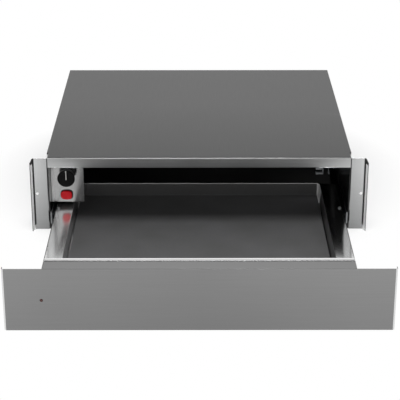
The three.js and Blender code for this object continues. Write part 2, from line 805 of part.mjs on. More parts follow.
// The sensing bulb lies along the left wall and its thin tube runs back to the thermostat.
function addSensor() {
  const bulb = { front: 150, back: 230, clips: [165, 215] };
  const clip = { half: 5, halfLength: 4, sheet: 1.2 };
  const thermostatBack = 66.2;
  addPiece(
    'sensor_bulb',
    rod('y', bulbRadius, bulb.front, bulb.back, [bulbX, 0, bulbZ], 12),
    copper,
  );
  const route = [
    [bulbX, bulb.front - 0.4, bulbZ], [bulbX, 130, 50], [-252, 110, 66], [-244, 100, 84],
    [knobX, 84, knobZ], [knobX, thermostatBack, knobZ],
  ];
  addPiece('capillary_tube', tube(route, 1, 24, 6), copper);

  const [low, high] = [bulbZ - clip.half, bulbZ + clip.half];
  const clips = bulb.clips.map((y) => {
    const arm = block(-insideHalf, bulbX + clip.half, y - clip.halfLength, y + clip.halfLength, low, high);
    const reach = clip.halfLength + past;
    const bore = rod('y', bulbRadius + fitGap, y - reach, y + reach, [bulbX, 0, bulbZ], 12);
    const mouth = block(bulbX, bulbX + clip.half + past, y - reach, y + reach, bulbZ - 2, bulbZ + 2);
    return cut(arm, bore, mouth);
  });
  const strip = block(-insideHalf, -insideHalf + clip.sheet, bulb.clips[0] - clip.halfLength,
    bulb.clips[1] + clip.halfLength, low, high);
  addPiece('bulb_clip', join(strip, ...clips), zincSteel);
}

// Wires from the terminal block to the switch, in one sleeve along the left wall.
function addLoom() {
  const route = [
    [-229, 469, 97], [-229, 461, 97], [-240, 444, 101], [-254, 420, 112], [-256, 320, 118],
    [-256, 220, 118], [-252, 140, 112], [-240, 104, 84], [switchX, 80, switchZ + 4],
    [switchX, 54.4, switchZ],
  ];
  addPiece('wiring_loom', tube(route, 3, 44), loomSleeve);
}

// Drawer front: an outer panel with bevelled sides, and the box behind its middle.
function addFrontPanel() {
  const side = panelHalfWidth;
  const sheet = panelSheet;
  const back = drawerFront + panelReturn;
  const bevelBack = drawerFront + 2;
  const flat = side - panelBevel;
  const profile = [
    [-flat, drawerFront], [flat, drawerFront], [side, bevelBack], [side, back], [side - sheet, back],
    [side - sheet, bevelBack + 0.4], [flat - 0.4, panelBack], [-flat + 0.4, panelBack],
    [-side + sheet, bevelBack + 0.4], [-side + sheet, back], [-side, back], [-side, bevelBack],
  ];
  const skin = alongZ(profile, panelBottom, panelTop);
  const half = frontBoxHalfWidth;
  const topReturn = block(-half, half, drawerFront, drawerFront + panelTopReturn, panelTop - sheet, panelTop);
  const bottomReturn = block(-half, half, drawerFront, drawerFront + panelBottomReturn, panelBottom,
    panelBottom + sheet);
  const lensHole = rod('y', lensRadius + fitGap, drawerFront - past, panelBack + past, [lensX, 0, lensZ]);
  addPiece('front_panel', cut(join(skin, topReturn, bottomReturn), lensHole), brushedSteel);
}

// The liner closes the box from behind, and its top carries on the panel's own top return.
function addFrontLiner() {
  const sheet = panelSheet;
  const half = frontBoxHalfWidth;
  const front = panelBack + fitGap;
  const stripStart = drawerFront + panelTopReturn + fitGap;
  const bottom = panelBottom + sheet + fitGap;
  const shelf = panelTop - sheet - 1;
  const steps = 4;
  const arc = Array.from({ length: steps + 1 }, (_, i) => {
    const angle = (Math.PI / 2) * (1 - i / steps);
    return [
      frontBoxBack - frontBoxRound + frontBoxRound * Math.cos(angle),
      panelTop - frontBoxRound + frontBoxRound * Math.sin(angle),
    ];
  });
  const shell = alongX(
    [[front, bottom], [front, shelf], [stripStart, shelf], [stripStart, panelTop], ...arc,
      [frontBoxBack, bottom]],
    -half,
    half,
  );
  const hollow = alongX(
    [[front - past, bottom + sheet], [front - past, shelf - sheet], [stripStart + sheet, shelf - sheet],
      [stripStart + sheet, panelTop - sheet], ...arc.map(([y, z]) => [y - sheet, z - sheet]),
      [frontBoxBack - sheet, bottom + sheet]],
    -half + sheet,
    half - sheet,
  );
  const screwHoles = Object.values(frontScrews).map((x) =>
    screwHole('y', [x, frontBoxBack, frontScrewZ], 8),
  );
  addPiece('front_liner', cut(shell, hollow, ...screwHoles), polishedSteel);
}

// The indicator's light guide: a thin rod with a collar that bears on the back of the panel.
function addLens() {
  const collar = { radius: 4, depth: 1.5, shift: 1.2 };
  const guide = rod('y', lensRadius, drawerFront - 0.5, drawerFront + 34, [lensX, 0, lensZ]);
  const disc = rod('y', collar.radius, panelBack + fitGap, panelBack + fitGap + collar.depth,
    [lensX - collar.shift, 0, lensZ]);
  const linerSide = block(-frontBoxHalfWidth - fitGap, 0, drawerFront - past, frontBoxBack, 0, panelTop);
  addPiece('indicator_light_guide', join(guide, cut(disc, linerSide)), amberLens);
}

function wellRing(z, half, grow, rear) {
  return {
    z,
    points: roundRect(-half - grow, half + grow, tubFront - grow, rear + grow, tubCorner + grow),
  };
}

// Drawer well: one deep-drawn sheet with a flat ledge along each side, hemmed at its outer edges.
function addTub() {
  const hem = { top: ledgeTop - 0.4, bottom: ledgeTop - 1.4 };
  const turnDownBottom = 8;
  const half = ledgeHalfWidth;
  const plate = block(-half, half, ledgeFront, ledgeRear, ledgeUnderside, ledgeTop);
  const hems = sides.map(([, side]) =>
    sideBlock(side, half - tubSheet, half, ledgeFront, ledgeRear, hem.bottom, hem.top),
  );
  const turnDown = block(-frontBoxHalfWidth, frontBoxHalfWidth, ledgeFront, ledgeFront + tubSheet,
    turnDownBottom, hem.top);
  const round = tubFloorRound;
  const outerWell = loft([
    wellRing(tubFloor - tubSheet, tubFloorHalfWidth - round, tubSheet, tubRear - round),
    wellRing(tubFloor + round, tubFloorHalfWidth, tubSheet, tubRear),
    wellRing(ledgeTop, tubHalfWidth, tubSheet, tubRear),
  ]);
  const innerWell = loft([
    wellRing(tubFloor, tubFloorHalfWidth - round, 0, tubRear - round),
    wellRing(tubFloor + round, tubFloorHalfWidth, 0, tubRear),
    wellRing(ledgeTop - 1.6, tubHalfWidth - 0.4, 0, tubRear - 0.4),
    wellRing(ledgeTop - 0.5, tubHalfWidth - 0.1, 0.4, tubRear - 0.1),
    wellRing(ledgeTop + 0.4, tubHalfWidth + 0.4, 1.2, tubRear + 0.2),
  ]);
  const frontHoles = Object.values(frontScrews).map((x) =>
    screwHole('y', [x, ledgeFront, frontScrewZ], 8),
  );
  const ledgeHoles = sides.map(([, side]) =>
    screwHole('z', [side * ledgeScrewX, ledgeScrewY, ledgeTop]),
  );
  const sheet = join(plate, ...hems, turnDown, outerWell);
  addPiece('drawer_tub', cut(sheet, innerWell, ...frontHoles, ...ledgeHoles), polishedSteel);
}

// Under each ledge an angle carries the drawer on its rail. The latch strikes a hook on the right.
function addRunnerCarriers() {
  const carrier = { outer: drawerRail.back - fitGap, flange: 255.2, front: ledgeFront + 2, rear: 130 };
  const sheet = casingSheet;
  const bottom = 9;
  const top = ledgeUnderside - fitGap;
  const inner = carrier.outer - sheet;
  const wall = block(inner, carrier.outer, carrier.front, carrier.rear, bottom, top);
  const flange = block(inner, carrier.flange, carrier.front, carrier.rear, top - sheet, top);
  const hole = screwHole('z', [ledgeScrewX, ledgeScrewY, top]);
  addPair('runner_carrier', cut(join(wall, flange), hole), zincSteel);

  const hook = { half: 6, bottom: 14, thickness: 1.5, footLength: 14, footSheet: 1.2 };
  const face = plungerTip - 0.5 - drawerTravel;
  const tongue = block(latchX - hook.half, latchX + hook.half, face - hook.thickness, face, hook.bottom, top);
  const foot = block(latchX - hook.half, latchX + hook.half, face - hook.footLength, face,
    top - hook.footSheet, top);
  addPiece('latch_striker', join(tongue, foot), zincSteel);
}

function addDrawerScrews() {
  const ledgeSeat = ledgeTop + fitGap;
  for (const [sideName, side] of sides) {
    const ledgeScrew = screw('z', 1, [side * ledgeScrewX, ledgeScrewY, ledgeSeat], 3);
    addPiece(`${sideName}_ledge_screw`, ledgeScrew, zincSteel);
  }
  const wellSeat = ledgeFront + tubSheet + fitGap;
  for (const [sideName, x] of Object.entries(frontScrews)) {
    addPiece(`${sideName}_front_screw`, screw('y', 1, [x, wellSeat, frontScrewZ], 7), zincSteel);
  }
}

// The mat lies loose on the well's floor, a little short of its walls.
function addMat() {
  const edgeGap = 2;
  const bottom = tubFloor + fitGap;
  const points = roundRect(-matHalfWidth, matHalfWidth, tubFront + edgeGap, tubRear - edgeGap,
    tubCorner - edgeGap);
  addPiece('anti_slip_mat', loft([bottom, bottom + matThickness].map((z) => ({ z, points }))), matSilicone);
}

addCasingTray();
addCasingCover();
addRearWall();
addFrontBar();
addFlanges();
addControlPlate();
addThermostat();
addKnob();
addSwitch();
addSlides();
addFloorClips();
addLatch();
addHeaterTray();
addFanGuard();
addFan();
addElement();
addInlet();
addSensor();
addLoom();
addFrontPanel();
addFrontLiner();
addLens();
addTub();
addRunnerCarriers();
addDrawerScrews();
addMat();

const warmingDrawer = new THREE.Group();
for (const mesh of pieces) warmingDrawer.add(mesh);
warmingDrawer.position.y = -casingDepth / 2;

export default warmingDrawer;
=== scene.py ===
import math

import bmesh
import bpy
import numpy as np
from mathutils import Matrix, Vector


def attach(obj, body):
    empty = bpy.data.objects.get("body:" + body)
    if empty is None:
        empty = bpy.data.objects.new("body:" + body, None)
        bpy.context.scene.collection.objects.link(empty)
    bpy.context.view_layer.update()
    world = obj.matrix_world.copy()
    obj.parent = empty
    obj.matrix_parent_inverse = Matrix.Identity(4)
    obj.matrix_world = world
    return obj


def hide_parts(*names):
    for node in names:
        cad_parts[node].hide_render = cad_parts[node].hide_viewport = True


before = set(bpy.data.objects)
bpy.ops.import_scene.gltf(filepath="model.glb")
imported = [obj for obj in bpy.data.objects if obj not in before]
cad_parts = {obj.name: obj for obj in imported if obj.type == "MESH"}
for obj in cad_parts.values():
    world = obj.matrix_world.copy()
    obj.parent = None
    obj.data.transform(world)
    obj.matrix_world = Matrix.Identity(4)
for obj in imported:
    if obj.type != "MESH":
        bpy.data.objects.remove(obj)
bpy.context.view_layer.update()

# Built-in warming drawer with its drawer pulled out: finishes and fine pieces round the CAD solids.
# Lengths in the dictionaries are millimetres, as in the part's source: x from the middle,
# y back from the front of the mounting flanges, z up from the underside of the casing.

millimetre = 0.001
flangeToOrigin = 254.0


# Millimetres from the flange front, turned to metres in the frame.
def inFrame(points):
    return (np.asarray(points, float) - (0.0, flangeToOrigin, 0.0)) * millimetre


# One length along an axis, turned the same way.
def placeAlong(axis, length):
    return float(inFrame((length,) * 3)["XYZ".index(axis)])


# A new object with its data, linked to the scene.
def addObject(name, data):
    thing = bpy.data.objects.new(name, data)
    bpy.context.scene.collection.objects.link(thing)
    return thing


print("camera")
# Fitted to the photo's vanishing lines. It looks down and to the right by so many degrees.
camera = {
    "place": (-3.3, -2233.4, 996.2), "down": 22.83, "right": 0.1247, "lens": 123.53, "sensor": 36.0,
    "nearest": 0.05, "farthest": 60.0,  # metres
}

eye = addObject("studioCamera", bpy.data.cameras.new("studioCamera"))
eye.data.lens = camera["lens"]
eye.data.sensor_width = camera["sensor"]
eye.location = inFrame(camera["place"])
eye.rotation_euler = (math.radians(90 - camera["down"]), 0.0, -math.radians(camera["right"]))
eye.data.clip_start = camera["nearest"]
eye.data.clip_end = camera["farthest"]
bpy.context.scene.camera = eye


# A hex colour as it is picked on a screen, turned to the linear values that shaders use.
def linear(hexColour):
    shares = [int(hexColour[i:i + 2], 16) / 255 for i in (1, 3, 5)]
    return tuple(s / 12.92 if s <= 0.04045 else ((s + 0.055) / 1.055) ** 2.4 for s in shares) + (1.0,)


# A node with its settings (a socket's name or number, or a property) and its links.
def addNode(tree, kind, settings=None, links=None):
    node = tree.nodes.new(kind)
    for key, value in (settings or {}).items():
        if isinstance(key, int) or key in node.inputs:
            node.inputs[key].default_value = value
        else:
            setattr(node, key, value)
    for key, source in (links or {}).items():
        tree.links.new(source, node.inputs[key])
    return node


# A new material, its node tree, and the place on the object that every pattern reads.
def startMaterial(name):
    material = bpy.data.materials.new(name)
    material.use_nodes = True
    material.node_tree.nodes.clear()
    place = addNode(material.node_tree, "ShaderNodeTexCoord").outputs["Object"]
    return material, material.node_tree, place


# The surface shader and its output, which end a material.
def finishMaterial(tree, settings, links):
    surface = addNode(tree, "ShaderNodeBsdfPrincipled", settings, links)
    addNode(tree, "ShaderNodeOutputMaterial", {}, {"Surface": surface.outputs["BSDF"]})


# Noise whose grains are as long as sizeMm says along x, y and z.
def grainNoise(tree, place, sizeMm, detail=3.0):
    scale = tuple(1 / (size * millimetre) for size in sizeMm)
    stretched = addNode(tree, "ShaderNodeMapping", {"Scale": scale}, {"Vector": place})
    links = {"Vector": stretched.outputs["Vector"]}
    return addNode(tree, "ShaderNodeTexNoise", {"Scale": 1.0, "Detail": detail}, links).outputs["Fac"]


noiseBand = {"From Min": 0.3, "From Max": 0.7}  # where most of a noise's values lie


# A finish's colour: clouds turn it a little, and the grain's lines lie over that.
# The Mix node's sockets 6 and 7 are its colours, and 2 is its colour output.
def finishColour(tree, look, clouds, grain=None):
    share = addNode(tree, "ShaderNodeMapRange", noiseBand, {"Value": clouds}).outputs["Result"]
    ends = {"data_type": "RGBA", 6: linear(look["colour"]), 7: linear(look["cloudColour"])}
    colour = addNode(tree, "ShaderNodeMix", ends, {0: share}).outputs[2]
    if grain is None:
        return colour
    lines = {**noiseBand, "To Max": look["grainShare"]}
    share = addNode(tree, "ShaderNodeMapRange", lines, {"Value": grain}).outputs["Result"]
    ends = {"data_type": "RGBA", 7: linear(look["grainColour"])}
    return addNode(tree, "ShaderNodeMix", ends, {0: share, 6: colour}).outputs[2]


# Gloss and relief that follow one texture, as a shader's links.
def glossAndRelief(tree, look, texture):
    spread = {**noiseBand, "To Min": look["roughness"][0], "To Max": look["roughness"][1]}
    gloss = addNode(tree, "ShaderNodeMapRange", spread, {"Value": texture}).outputs["Result"]
    depth = {"Strength": 1.0, "Distance": look["depth"] * millimetre}
    relief = addNode(tree, "ShaderNodeBump", depth, {"Height": texture}).outputs["Normal"]
    return {"Roughness": gloss, "Normal": relief}


# One coordinate of a place in metres. Either side of the middle counts alike if it loses its sign.
def coordinate(tree, place, axis, unsigned):
    value = addNode(tree, "ShaderNodeSeparateXYZ", {}, {0: place}).outputs[axis]
    if unsigned:
        value = addNode(tree, "ShaderNodeMath", {"operation": "ABSOLUTE"}, {0: value}).outputs[0]
    return value


# One where every test holds, and zero elsewhere. A test is an axis, whether it loses its sign,
# below or above, and a place along the axis.
def region(tree, place, tests):
    holds = None
    for axis, unsigned, comparison, limit in tests:
        value = coordinate(tree, place, axis, unsigned)
        settings = {"operation": comparison, 1: placeAlong(axis, limit)}
        step = addNode(tree, "ShaderNodeMath", settings, {0: value}).outputs[0]
        if holds is not None:
            both = {0: holds, 1: step}
            step = addNode(tree, "ShaderNodeMath", {"operation": "MULTIPLY"}, both).outputs[0]
        holds = step
    return holds


# Sheet steel, rolled or brushed: grain lines, clouds of tone and a slightly uneven gloss.
# A patch is the plain finish that the sheet has in one region, mostly painted light or shade here. A fade
# darkens the sheet along an axis, painted shade, from a share of its colour at the first place to the
# whole of it at the second.
def sheetSteel(name, look, patches=(), paintedShadeFades=()):
    material, tree, place = startMaterial(name)
    grain = grainNoise(tree, place, look["grain"])
    clouds = grainNoise(tree, place, (look["clouds"],) * 3, detail=2.0)
    colour = finishColour(tree, look, clouds, grain)
    links = glossAndRelief(tree, look, grain)
    for axis, unsigned, start, end, share in paintedShadeFades:
        value = coordinate(tree, place, axis, unsigned)
        span = {"From Min": placeAlong(axis, start), "From Max": placeAlong(axis, end), "To Min": share}
        paintedShadeShare = addNode(tree, "ShaderNodeMapRange", span, {"Value": value}).outputs["Result"]
        product = {"data_type": "RGBA", "blend_type": "MULTIPLY", 0: 1.0}
        colour = addNode(tree, "ShaderNodeMix", product, {6: colour, 7: paintedShadeShare}).outputs[2]
    for patch in patches:
        there = region(tree, place, patch["where"])
        ends = {"data_type": "RGBA", 7: linear(patch["colour"])}
        colour = addNode(tree, "ShaderNodeMix", ends, {0: there, 6: colour}).outputs[2]
        for key in ("Metallic", "Roughness"):  # sockets 2 and 3 are the Mix node's plain numbers
            ends = {"data_type": "FLOAT", 3: patch[key.lower()]}
            before = {0: there}
            if key in links:
                before[2] = links[key]
            else:
                ends[2] = look[key.lower()]
            links[key] = addNode(tree, "ShaderNodeMix", ends, before).outputs[0]
    finishMaterial(tree, {"Metallic": look["metallic"]}, {**links, "Base Color": colour})
    return material


# Moulded plastic, rubber or paint: a fine even texture, slight clouds, and no metal in it.
def mouldedSkin(name, look):
    material, tree, place = startMaterial(name)
    texture = grainNoise(tree, place, (look["texture"],) * 3, detail=2.0)
    clouds = grainNoise(tree, place, (look["clouds"],) * 3, detail=2.0)
    # A look's glow is painted light: the surface gives off light of its own colour, though it is no lamp.
    settings = {
        "IOR": look["ior"], "Specular IOR Level": look.get("specular", 0.5),
        "Coat Weight": look.get("coat", 0.0), "Coat Roughness": look.get("coatRoughness", 0.0),
        "Emission Color": linear(look["colour"]), "Emission Strength": look.get("glow", 0.0),
    }
    links = {**glossAndRelief(tree, look, texture), "Base Color": finishColour(tree, look, clouds)}
    finishMaterial(tree, settings, links)
    return material


print("materials")
looks = {
    # stainless steel, belt-brushed along its width: long fine lines and an even satin gloss
    "brushedPanel": {
        "colour": "#909090", "cloudColour": "#949494", "grainColour": "#858585", "grainShare": 0.3,
        "grain": (90.0, 1.2, 0.4), "clouds": 240.0, "roughness": (0.33, 0.4), "metallic": 1.0,
        "depth": 0.008,
    },
    # stainless steel, bright rolled: clearer reflections that blur with distance
    "brightRolled": {
        "colour": "#c9caca", "cloudColour": "#b1b2b2", "grainColour": "#a8a9a9", "grainShare": 0.35,
        "grain": (60.0, 0.8, 0.4), "clouds": 120.0, "roughness": (0.28, 0.33), "metallic": 1.0,
        "depth": 0.004,
    },
    # stainless steel, bright annealed and springy: lighter, and darkened towards its foot by painted
    # shade
    "flangeSheet": {
        "colour": "#d0d1d1", "cloudColour": "#cacbcb", "grainColour": "#c0c1c1", "grainShare": 0.35,
        "grain": (60.0, 0.8, 0.4), "clouds": 120.0, "roughness": (0.2, 0.26), "metallic": 1.0,
        "depth": 0.005,
    },
    # stainless steel, polished after drawing: mirror-like with a faint haze
    "drawnSteel": {
        "colour": "#d2d2d2", "cloudColour": "#cacaca", "grainColour": "#bdbdbd", "grainShare": 0.3,
        "grain": (1.5, 40.0, 1.5), "clouds": 90.0, "roughness": (0.13, 0.18), "metallic": 0.94,
        "depth": 0.003,
    },
    # stainless steel, bright annealed and left plain behind the front: a little greyer than the well
    "platedFace": {
        "colour": "#a9a9a9", "cloudColour": "#a4a4a4", "grainColour": "#9d9d9d", "grainShare": 0.3,
        "grain": (0.9, 0.9, 30.0), "clouds": 40.0, "roughness": (0.15, 0.2), "metallic": 1.0,
        "depth": 0.004,
    },
    # aluminium-zinc coated sheet, chemically dulled: a quiet satin grey
    "coverSheet": {
        "colour": "#4d4d4d", "cloudColour": "#4f4f4f", "grainColour": "#4b4b4b", "grainShare": 0.3,
        "grain": (0.8, 60.0, 0.8), "clouds": 180.0, "roughness": (0.45, 0.48), "metallic": 0.8,
        "depth": 0.003,
    },
    # zinc-plated steel, clear passivated: a cool grey with faint blotches
    "zincPlate": {
        "colour": "#8e9091", "cloudColour": "#828485", "grainColour": "#7b7d7e", "grainShare": 0.4,
        "grain": (1.1, 1.1, 1.1), "clouds": 14.0, "roughness": (0.3, 0.42), "metallic": 1.0,
        "depth": 0.006,
    },
    # hot-dip zinc, dull spangle: a light grey that scatters what little light reaches it
    "dullZinc": {
        "colour": "#c6c8ca", "cloudColour": "#b2b5b8", "grainColour": "#a9adb0", "grainShare": 0.4,
        "grain": (2.0, 2.0, 2.0), "clouds": 8.0, "roughness": (0.5, 0.62), "metallic": 0.3,
        "depth": 0.01,
    },
    # zinc-plated steel, black passivated and oiled: dark with a low sheen
    "darkZinc": {
        "colour": "#3b3d40", "cloudColour": "#323437", "grainColour": "#2b2c2e", "grainShare": 0.4,
        "grain": (1.2, 26.0, 1.2), "clouds": 22.0, "roughness": (0.32, 0.44), "metallic": 1.0,
        "depth": 0.006,
    },
    # nickel-chrome sheath, heat-tinted in service: straw and grey patches
    "heaterSheath": {
        "colour": "#6c655c", "cloudColour": "#54504e", "grainColour": "#7c6a52", "grainShare": 0.5,
        "grain": (2.0, 2.0, 2.0), "clouds": 9.0, "roughness": (0.4, 0.55), "metallic": 1.0,
        "depth": 0.01,
    },
    # drawn copper tube, a little tarnished
    "copperTube": {
        "colour": "#b5704c", "cloudColour": "#8f5639", "grainColour": "#9c6040", "grainShare": 0.4,
        "grain": (1.0, 12.0, 1.0), "clouds": 11.0, "roughness": (0.28, 0.4), "metallic": 1.0,
        "depth": 0.005,
    },
    # vitreous enamel inside the casing: near black, painted shade for the dark in there, with a soft even
    # gloss
    "enamel": {
        "colour": "#070708", "cloudColour": "#0a0a0b", "texture": 1.8, "clouds": 60.0, "ior": 1.5,
        "roughness": (0.36, 0.46), "depth": 0.02, "specular": 0.04,
    },
    # silicone mat, moulded against a fine matt tool: dark grey and quite dull
    "siliconeMat": {
        "colour": "#454545", "cloudColour": "#4c4c4d", "texture": 1.6, "clouds": 70.0, "ior": 1.41,
        "roughness": (0.62, 0.74), "depth": 0.05,
    },
    # ABS, moulded with a fine spark texture: black and semi-matt
    "knobPlastic": {
        "colour": "#0b0b0c", "cloudColour": "#09090a", "texture": 0.35, "clouds": 12.0, "ior": 1.54,
        "roughness": (0.34, 0.46), "depth": 0.012, "specular": 0.1,
    },
    # glass-filled nylon: black, slightly glossier
    "bezelPlastic": {
        "colour": "#101011", "cloudColour": "#0d0d0e", "texture": 0.5, "clouds": 9.0, "ior": 1.53,
        "roughness": (0.26, 0.36), "depth": 0.006,
    },
    # phenolic or PBT mouldings: mid grey, dull
    "greyPlastic": {
        "colour": "#5d6063", "cloudColour": "#55585b", "texture": 0.6, "clouds": 16.0, "ior": 1.57,
        "roughness": (0.45, 0.58), "depth": 0.012,
    },
    # red polycarbonate, polished tool: saturated, with a sharp gloss and a faint painted glow of its own
    # colour
    "redLens": {
        "colour": "#d81a25", "cloudColour": "#ca1822", "texture": 2.4, "clouds": 7.0, "ior": 1.58,
        "roughness": (0.2, 0.28), "depth": 0.004, "specular": 0.12, "glow": 0.15,
    },
    # amber acrylic light guide, unlit: dark orange-brown
    "amberLens": {
        "colour": "#561d14", "cloudColour": "#441610", "texture": 1.0, "clouds": 2.5, "ior": 1.49,
        "roughness": (0.12, 0.2), "depth": 0.004, "coat": 0.4, "coatRoughness": 0.06,
    },
    # white pad-printed ink on the knob
    "whiteInk": {
        "colour": "#f2f2ef", "cloudColour": "#ebebe8", "texture": 0.5, "clouds": 4.0, "ior": 1.5,
        "roughness": (0.5, 0.6), "depth": 0.008,
    },
    # glass-fibre sleeve, braided and varnished
    "loomSleeve": {
        "colour": "#222224", "cloudColour": "#2c2c2e", "texture": 1.2, "clouds": 3.0, "ior": 1.5,
        "roughness": (0.6, 0.75), "depth": 0.15,
    },
}
# The looks that are sheet steel or other metal; the rest are moulded or painted.
sheetLooks = ("brushedPanel", "brightRolled", "flangeSheet", "drawnSteel", "platedFace", "coverSheet",
              "zincPlate", "dullZinc", "darkZinc", "heaterSheath", "copperTube")
finishes = {
    name: sheetSteel(name, look) if name in sheetLooks else mouldedSkin(name, look)
    for name, look in looks.items()
}

# Words for the patches' tests and the fades: which side of a place, and whether the sign counts.
below, above = "LESS_THAN", "GREATER_THAN"
eitherSide, signed = True, False

# The casing's sheets are near black inside, painted shade for the dark under the cover; each patch says
# where inside is. The tray's floor is rougher. The cover's colour darkens towards its front, painted
# shade.
insidePaintedShade = {"colour": "#1a1a1a", "metallic": 0.0, "roughness": 0.2}
floorPaintedShade = {**insidePaintedShade, "roughness": 0.65}
insideTray = [("X", eitherSide, below, 264.5), ("Z", signed, above, 0.5)]
underCover = [("X", eitherSide, below, 267.5), ("Z", signed, below, 135.5), ("Y", signed, below, 507.5)]
insidePatches = {
    "casing_tray": [
        {**insidePaintedShade, "where": insideTray},
        {**floorPaintedShade, "where": [*insideTray, ("Z", signed, below, 1.5)]},
    ],
    "casing_cover": [{**insidePaintedShade, "where": underCover}],
    "rear_wall": [{**insidePaintedShade, "where": [("Y", signed, below, 505.0)]}],
}
casingPaintedShade = [("Y", signed, -8.0, 294.0, 0.66)]
for nodeName, patches in insidePatches.items():
    finishes[nodeName] = sheetSteel(nodeName + "Sheet", looks["coverSheet"], patches, casingPaintedShade)

# The panel's bevelled side edges are painted brighter than its face, a painted highlight. Its top return
# is painted a little darker, and so is the narrow top edge in front of it, painted shade. The face
# darkens a little towards its foot and its middle, painted shade too.
panelPatches = [
    {"colour": "#dcdcdc", "metallic": 1.0, "roughness": 0.2, "where": [("X", eitherSide, above, 294.7)]},
    {"colour": "#717171", "metallic": 1.0, "roughness": 0.3,
     "where": [("Z", signed, above, 103.8), ("Y", signed, above, -379.7)]},
    {"colour": "#6e6e6e", "metallic": 1.0, "roughness": 0.38,
     "where": [("Z", signed, above, 104.1), ("Y", signed, below, -379.7),
               ("X", eitherSide, below, 236.0)]},
]
panelPaintedShade = [("Z", signed, 0.0, 110.0, 0.84), ("X", eitherSide, 0.0, 300.0, 0.88)]
finishes["front_panel"] = sheetSteel(
    "brushedPanelWithPolishedEdges", looks["brushedPanel"], panelPatches, panelPaintedShade,
)

# The well's ledges are painted brighter than the drawn walls, a painted reflection: the right one is a
# mirror, the left one a pale satin. The right and rear walls are painted darker, painted shade, the rear
# corners are painted light, a painted pool of light, and the hems along the ledges' outer and front edges
# are painted shade.
paintedShadeWall = {"colour": "#7c7c7c", "metallic": 1.0, "roughness": 0.3}
paintedShadeHem = {"colour": "#5c5c5c", "metallic": 1.0, "roughness": 0.3}
ledgeTop = ("Z", signed, above, 29.2)
wellPatches = [
    {**paintedShadeWall, "colour": "#707070", "where": [("X", signed, above, 220.3)]},
    {**paintedShadeWall, "where": [("Y", signed, above, 140.5)]},
    {"colour": "#f2f2f2", "metallic": 0.3, "roughness": 0.45,
     "where": [("Y", signed, above, 104.0), ("X", eitherSide, above, 220.5)]},
    {"colour": "#f4f4f4", "metallic": 0.92, "roughness": 0.2,
     "where": [ledgeTop, ("X", signed, below, 0.0)]},
    {"colour": "#e8e8e8", "metallic": 1.0, "roughness": 0.15,
     "where": [ledgeTop, ("X", signed, above, 0.0)]},
    {**paintedShadeHem, "where": [("X", eitherSide, above, 254.9)]},
    {**paintedShadeHem, "where": [("Y", signed, below, -340.2), ("Z", signed, above, 20.0)]},
]
finishes["drawer_tub"] = sheetSteel("drawnSteelWithMirrorLedge", looks["drawnSteel"], wellPatches)

# The front bar's rounded top edge is painted darker and duller, painted shade that hides its highlight.
barPatches = [
    {"colour": "#9a9a9a", "metallic": 1.0, "roughness": 0.34, "where": [("Z", signed, above, 133.8)]},
]
finishes["front_bar"] = sheetSteel("rolledSteelWithPressedEdge", looks["brightRolled"], barPatches)

# The front liner's top is drawn steel painted bright, a painted highlight that fades towards the panel.
# Its rear rim is painted dark, painted shade, and its walls are plain.
linerHighlightLook = {
    **looks["drawnSteel"], "colour": "#f8f8f8", "cloudColour": "#f2f2f2", "grainColour": "#ececec",
    "depth": 0.0003, "roughness": (0.22, 0.24),
}
linerPatches = [
    {"colour": "#202020", "metallic": 1.0, "roughness": 0.4, "where": [("Y", signed, above, -344.7)]},
    {"colour": "#b0b0b0", "metallic": 1.0, "roughness": 0.2, "where": [("Z", signed, below, 100.0)]},
]
linerPaintedHighlightFade = [("Y", signed, -353.0, -343.5, 0.3)]
finishes["front_liner"] = sheetSteel("drawnSteelDullTowardsPanel", linerHighlightLook, linerPatches, linerPaintedHighlightFade)

# The control plate's edge next to the casing wall is painted light and matt, a painted highlight.
platePatches = [
    {"colour": "#f0f0f0", "metallic": 1.0, "roughness": 0.42, "where": [("X", signed, below, -259.3)]},
]
finishes["control_plate"] = sheetSteel("platedFaceWithMattEdge", looks["platedFace"], platePatches)

# Each flange's springy lip is painted white, a painted reflection, with a cut edge and a top end in
# painted shade, and its fold is a painted shade line that stops a little above the foot. The flange's
# colour grows lighter with height and towards its lip: painted light and shade.
paintedShadeLine = {"colour": "#161616", "metallic": 0.0, "roughness": 0.6}
flangePatches = [
    {"colour": "#ffffff", "metallic": 0.0, "roughness": 0.5,
     "where": [("Y", signed, below, -0.8), ("X", eitherSide, above, 290.4)]},
    {"colour": "#3c3c3c", "metallic": 0.5, "roughness": 0.4, "where": [("Y", signed, below, -13.2)]},
    {**paintedShadeLine, "where": [("Y", signed, below, 0.4), ("Y", signed, above, -4.4),
                           ("X", eitherSide, above, 288.9), ("Z", signed, above, 9.0)]},
    {**paintedShadeLine, "where": [("Y", signed, below, -0.8), ("Z", signed, above, 126.2)]},
]
flangePaintedShade = [("Z", signed, 0.0, 125.0, 0.5), ("X", eitherSide, 265.5, 290.5, 0.8)]
finishes["mounting_flange"] = sheetSteel(
    "springFlangeSheet", looks["flangeSheet"], flangePatches, flangePaintedShade,
)

# The nodes that share a finish. Any other node has the finish of its own name, or else plain zinc.
nodeFinish = {
    "mounting_flange": ["left_mounting_flange", "right_mounting_flange"],
    "enamel": ["heater_tray", "fan_guard"],
    "darkZinc": ["left_slide_casing_rail", "right_slide_casing_rail", "left_slide_middle_rail",
                 "right_slide_middle_rail"],
    "dullZinc": ["left_inner_floor_clip", "right_inner_floor_clip", "left_outer_floor_clip",
                 "right_outer_floor_clip"],
    "siliconeMat": ["anti_slip_mat"],
    "knobPlastic": ["control_knob"],
    "bezelPlastic": ["switch_housing", "latch_plunger", "safety_cutout", "inlet_gland"],
    "greyPlastic": ["thermostat_body", "latch_body", "fan_motor", "terminal_block"],
    "redLens": ["switch_rocker"],
    "amberLens": ["indicator_light_guide"],
    "heaterSheath": ["ring_element"],
    "copperTube": ["sensor_bulb", "capillary_tube"],
    "loomSleeve": ["wiring_loom"],
}
finishOf = {name: name if name in finishes else "zincPlate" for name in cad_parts}
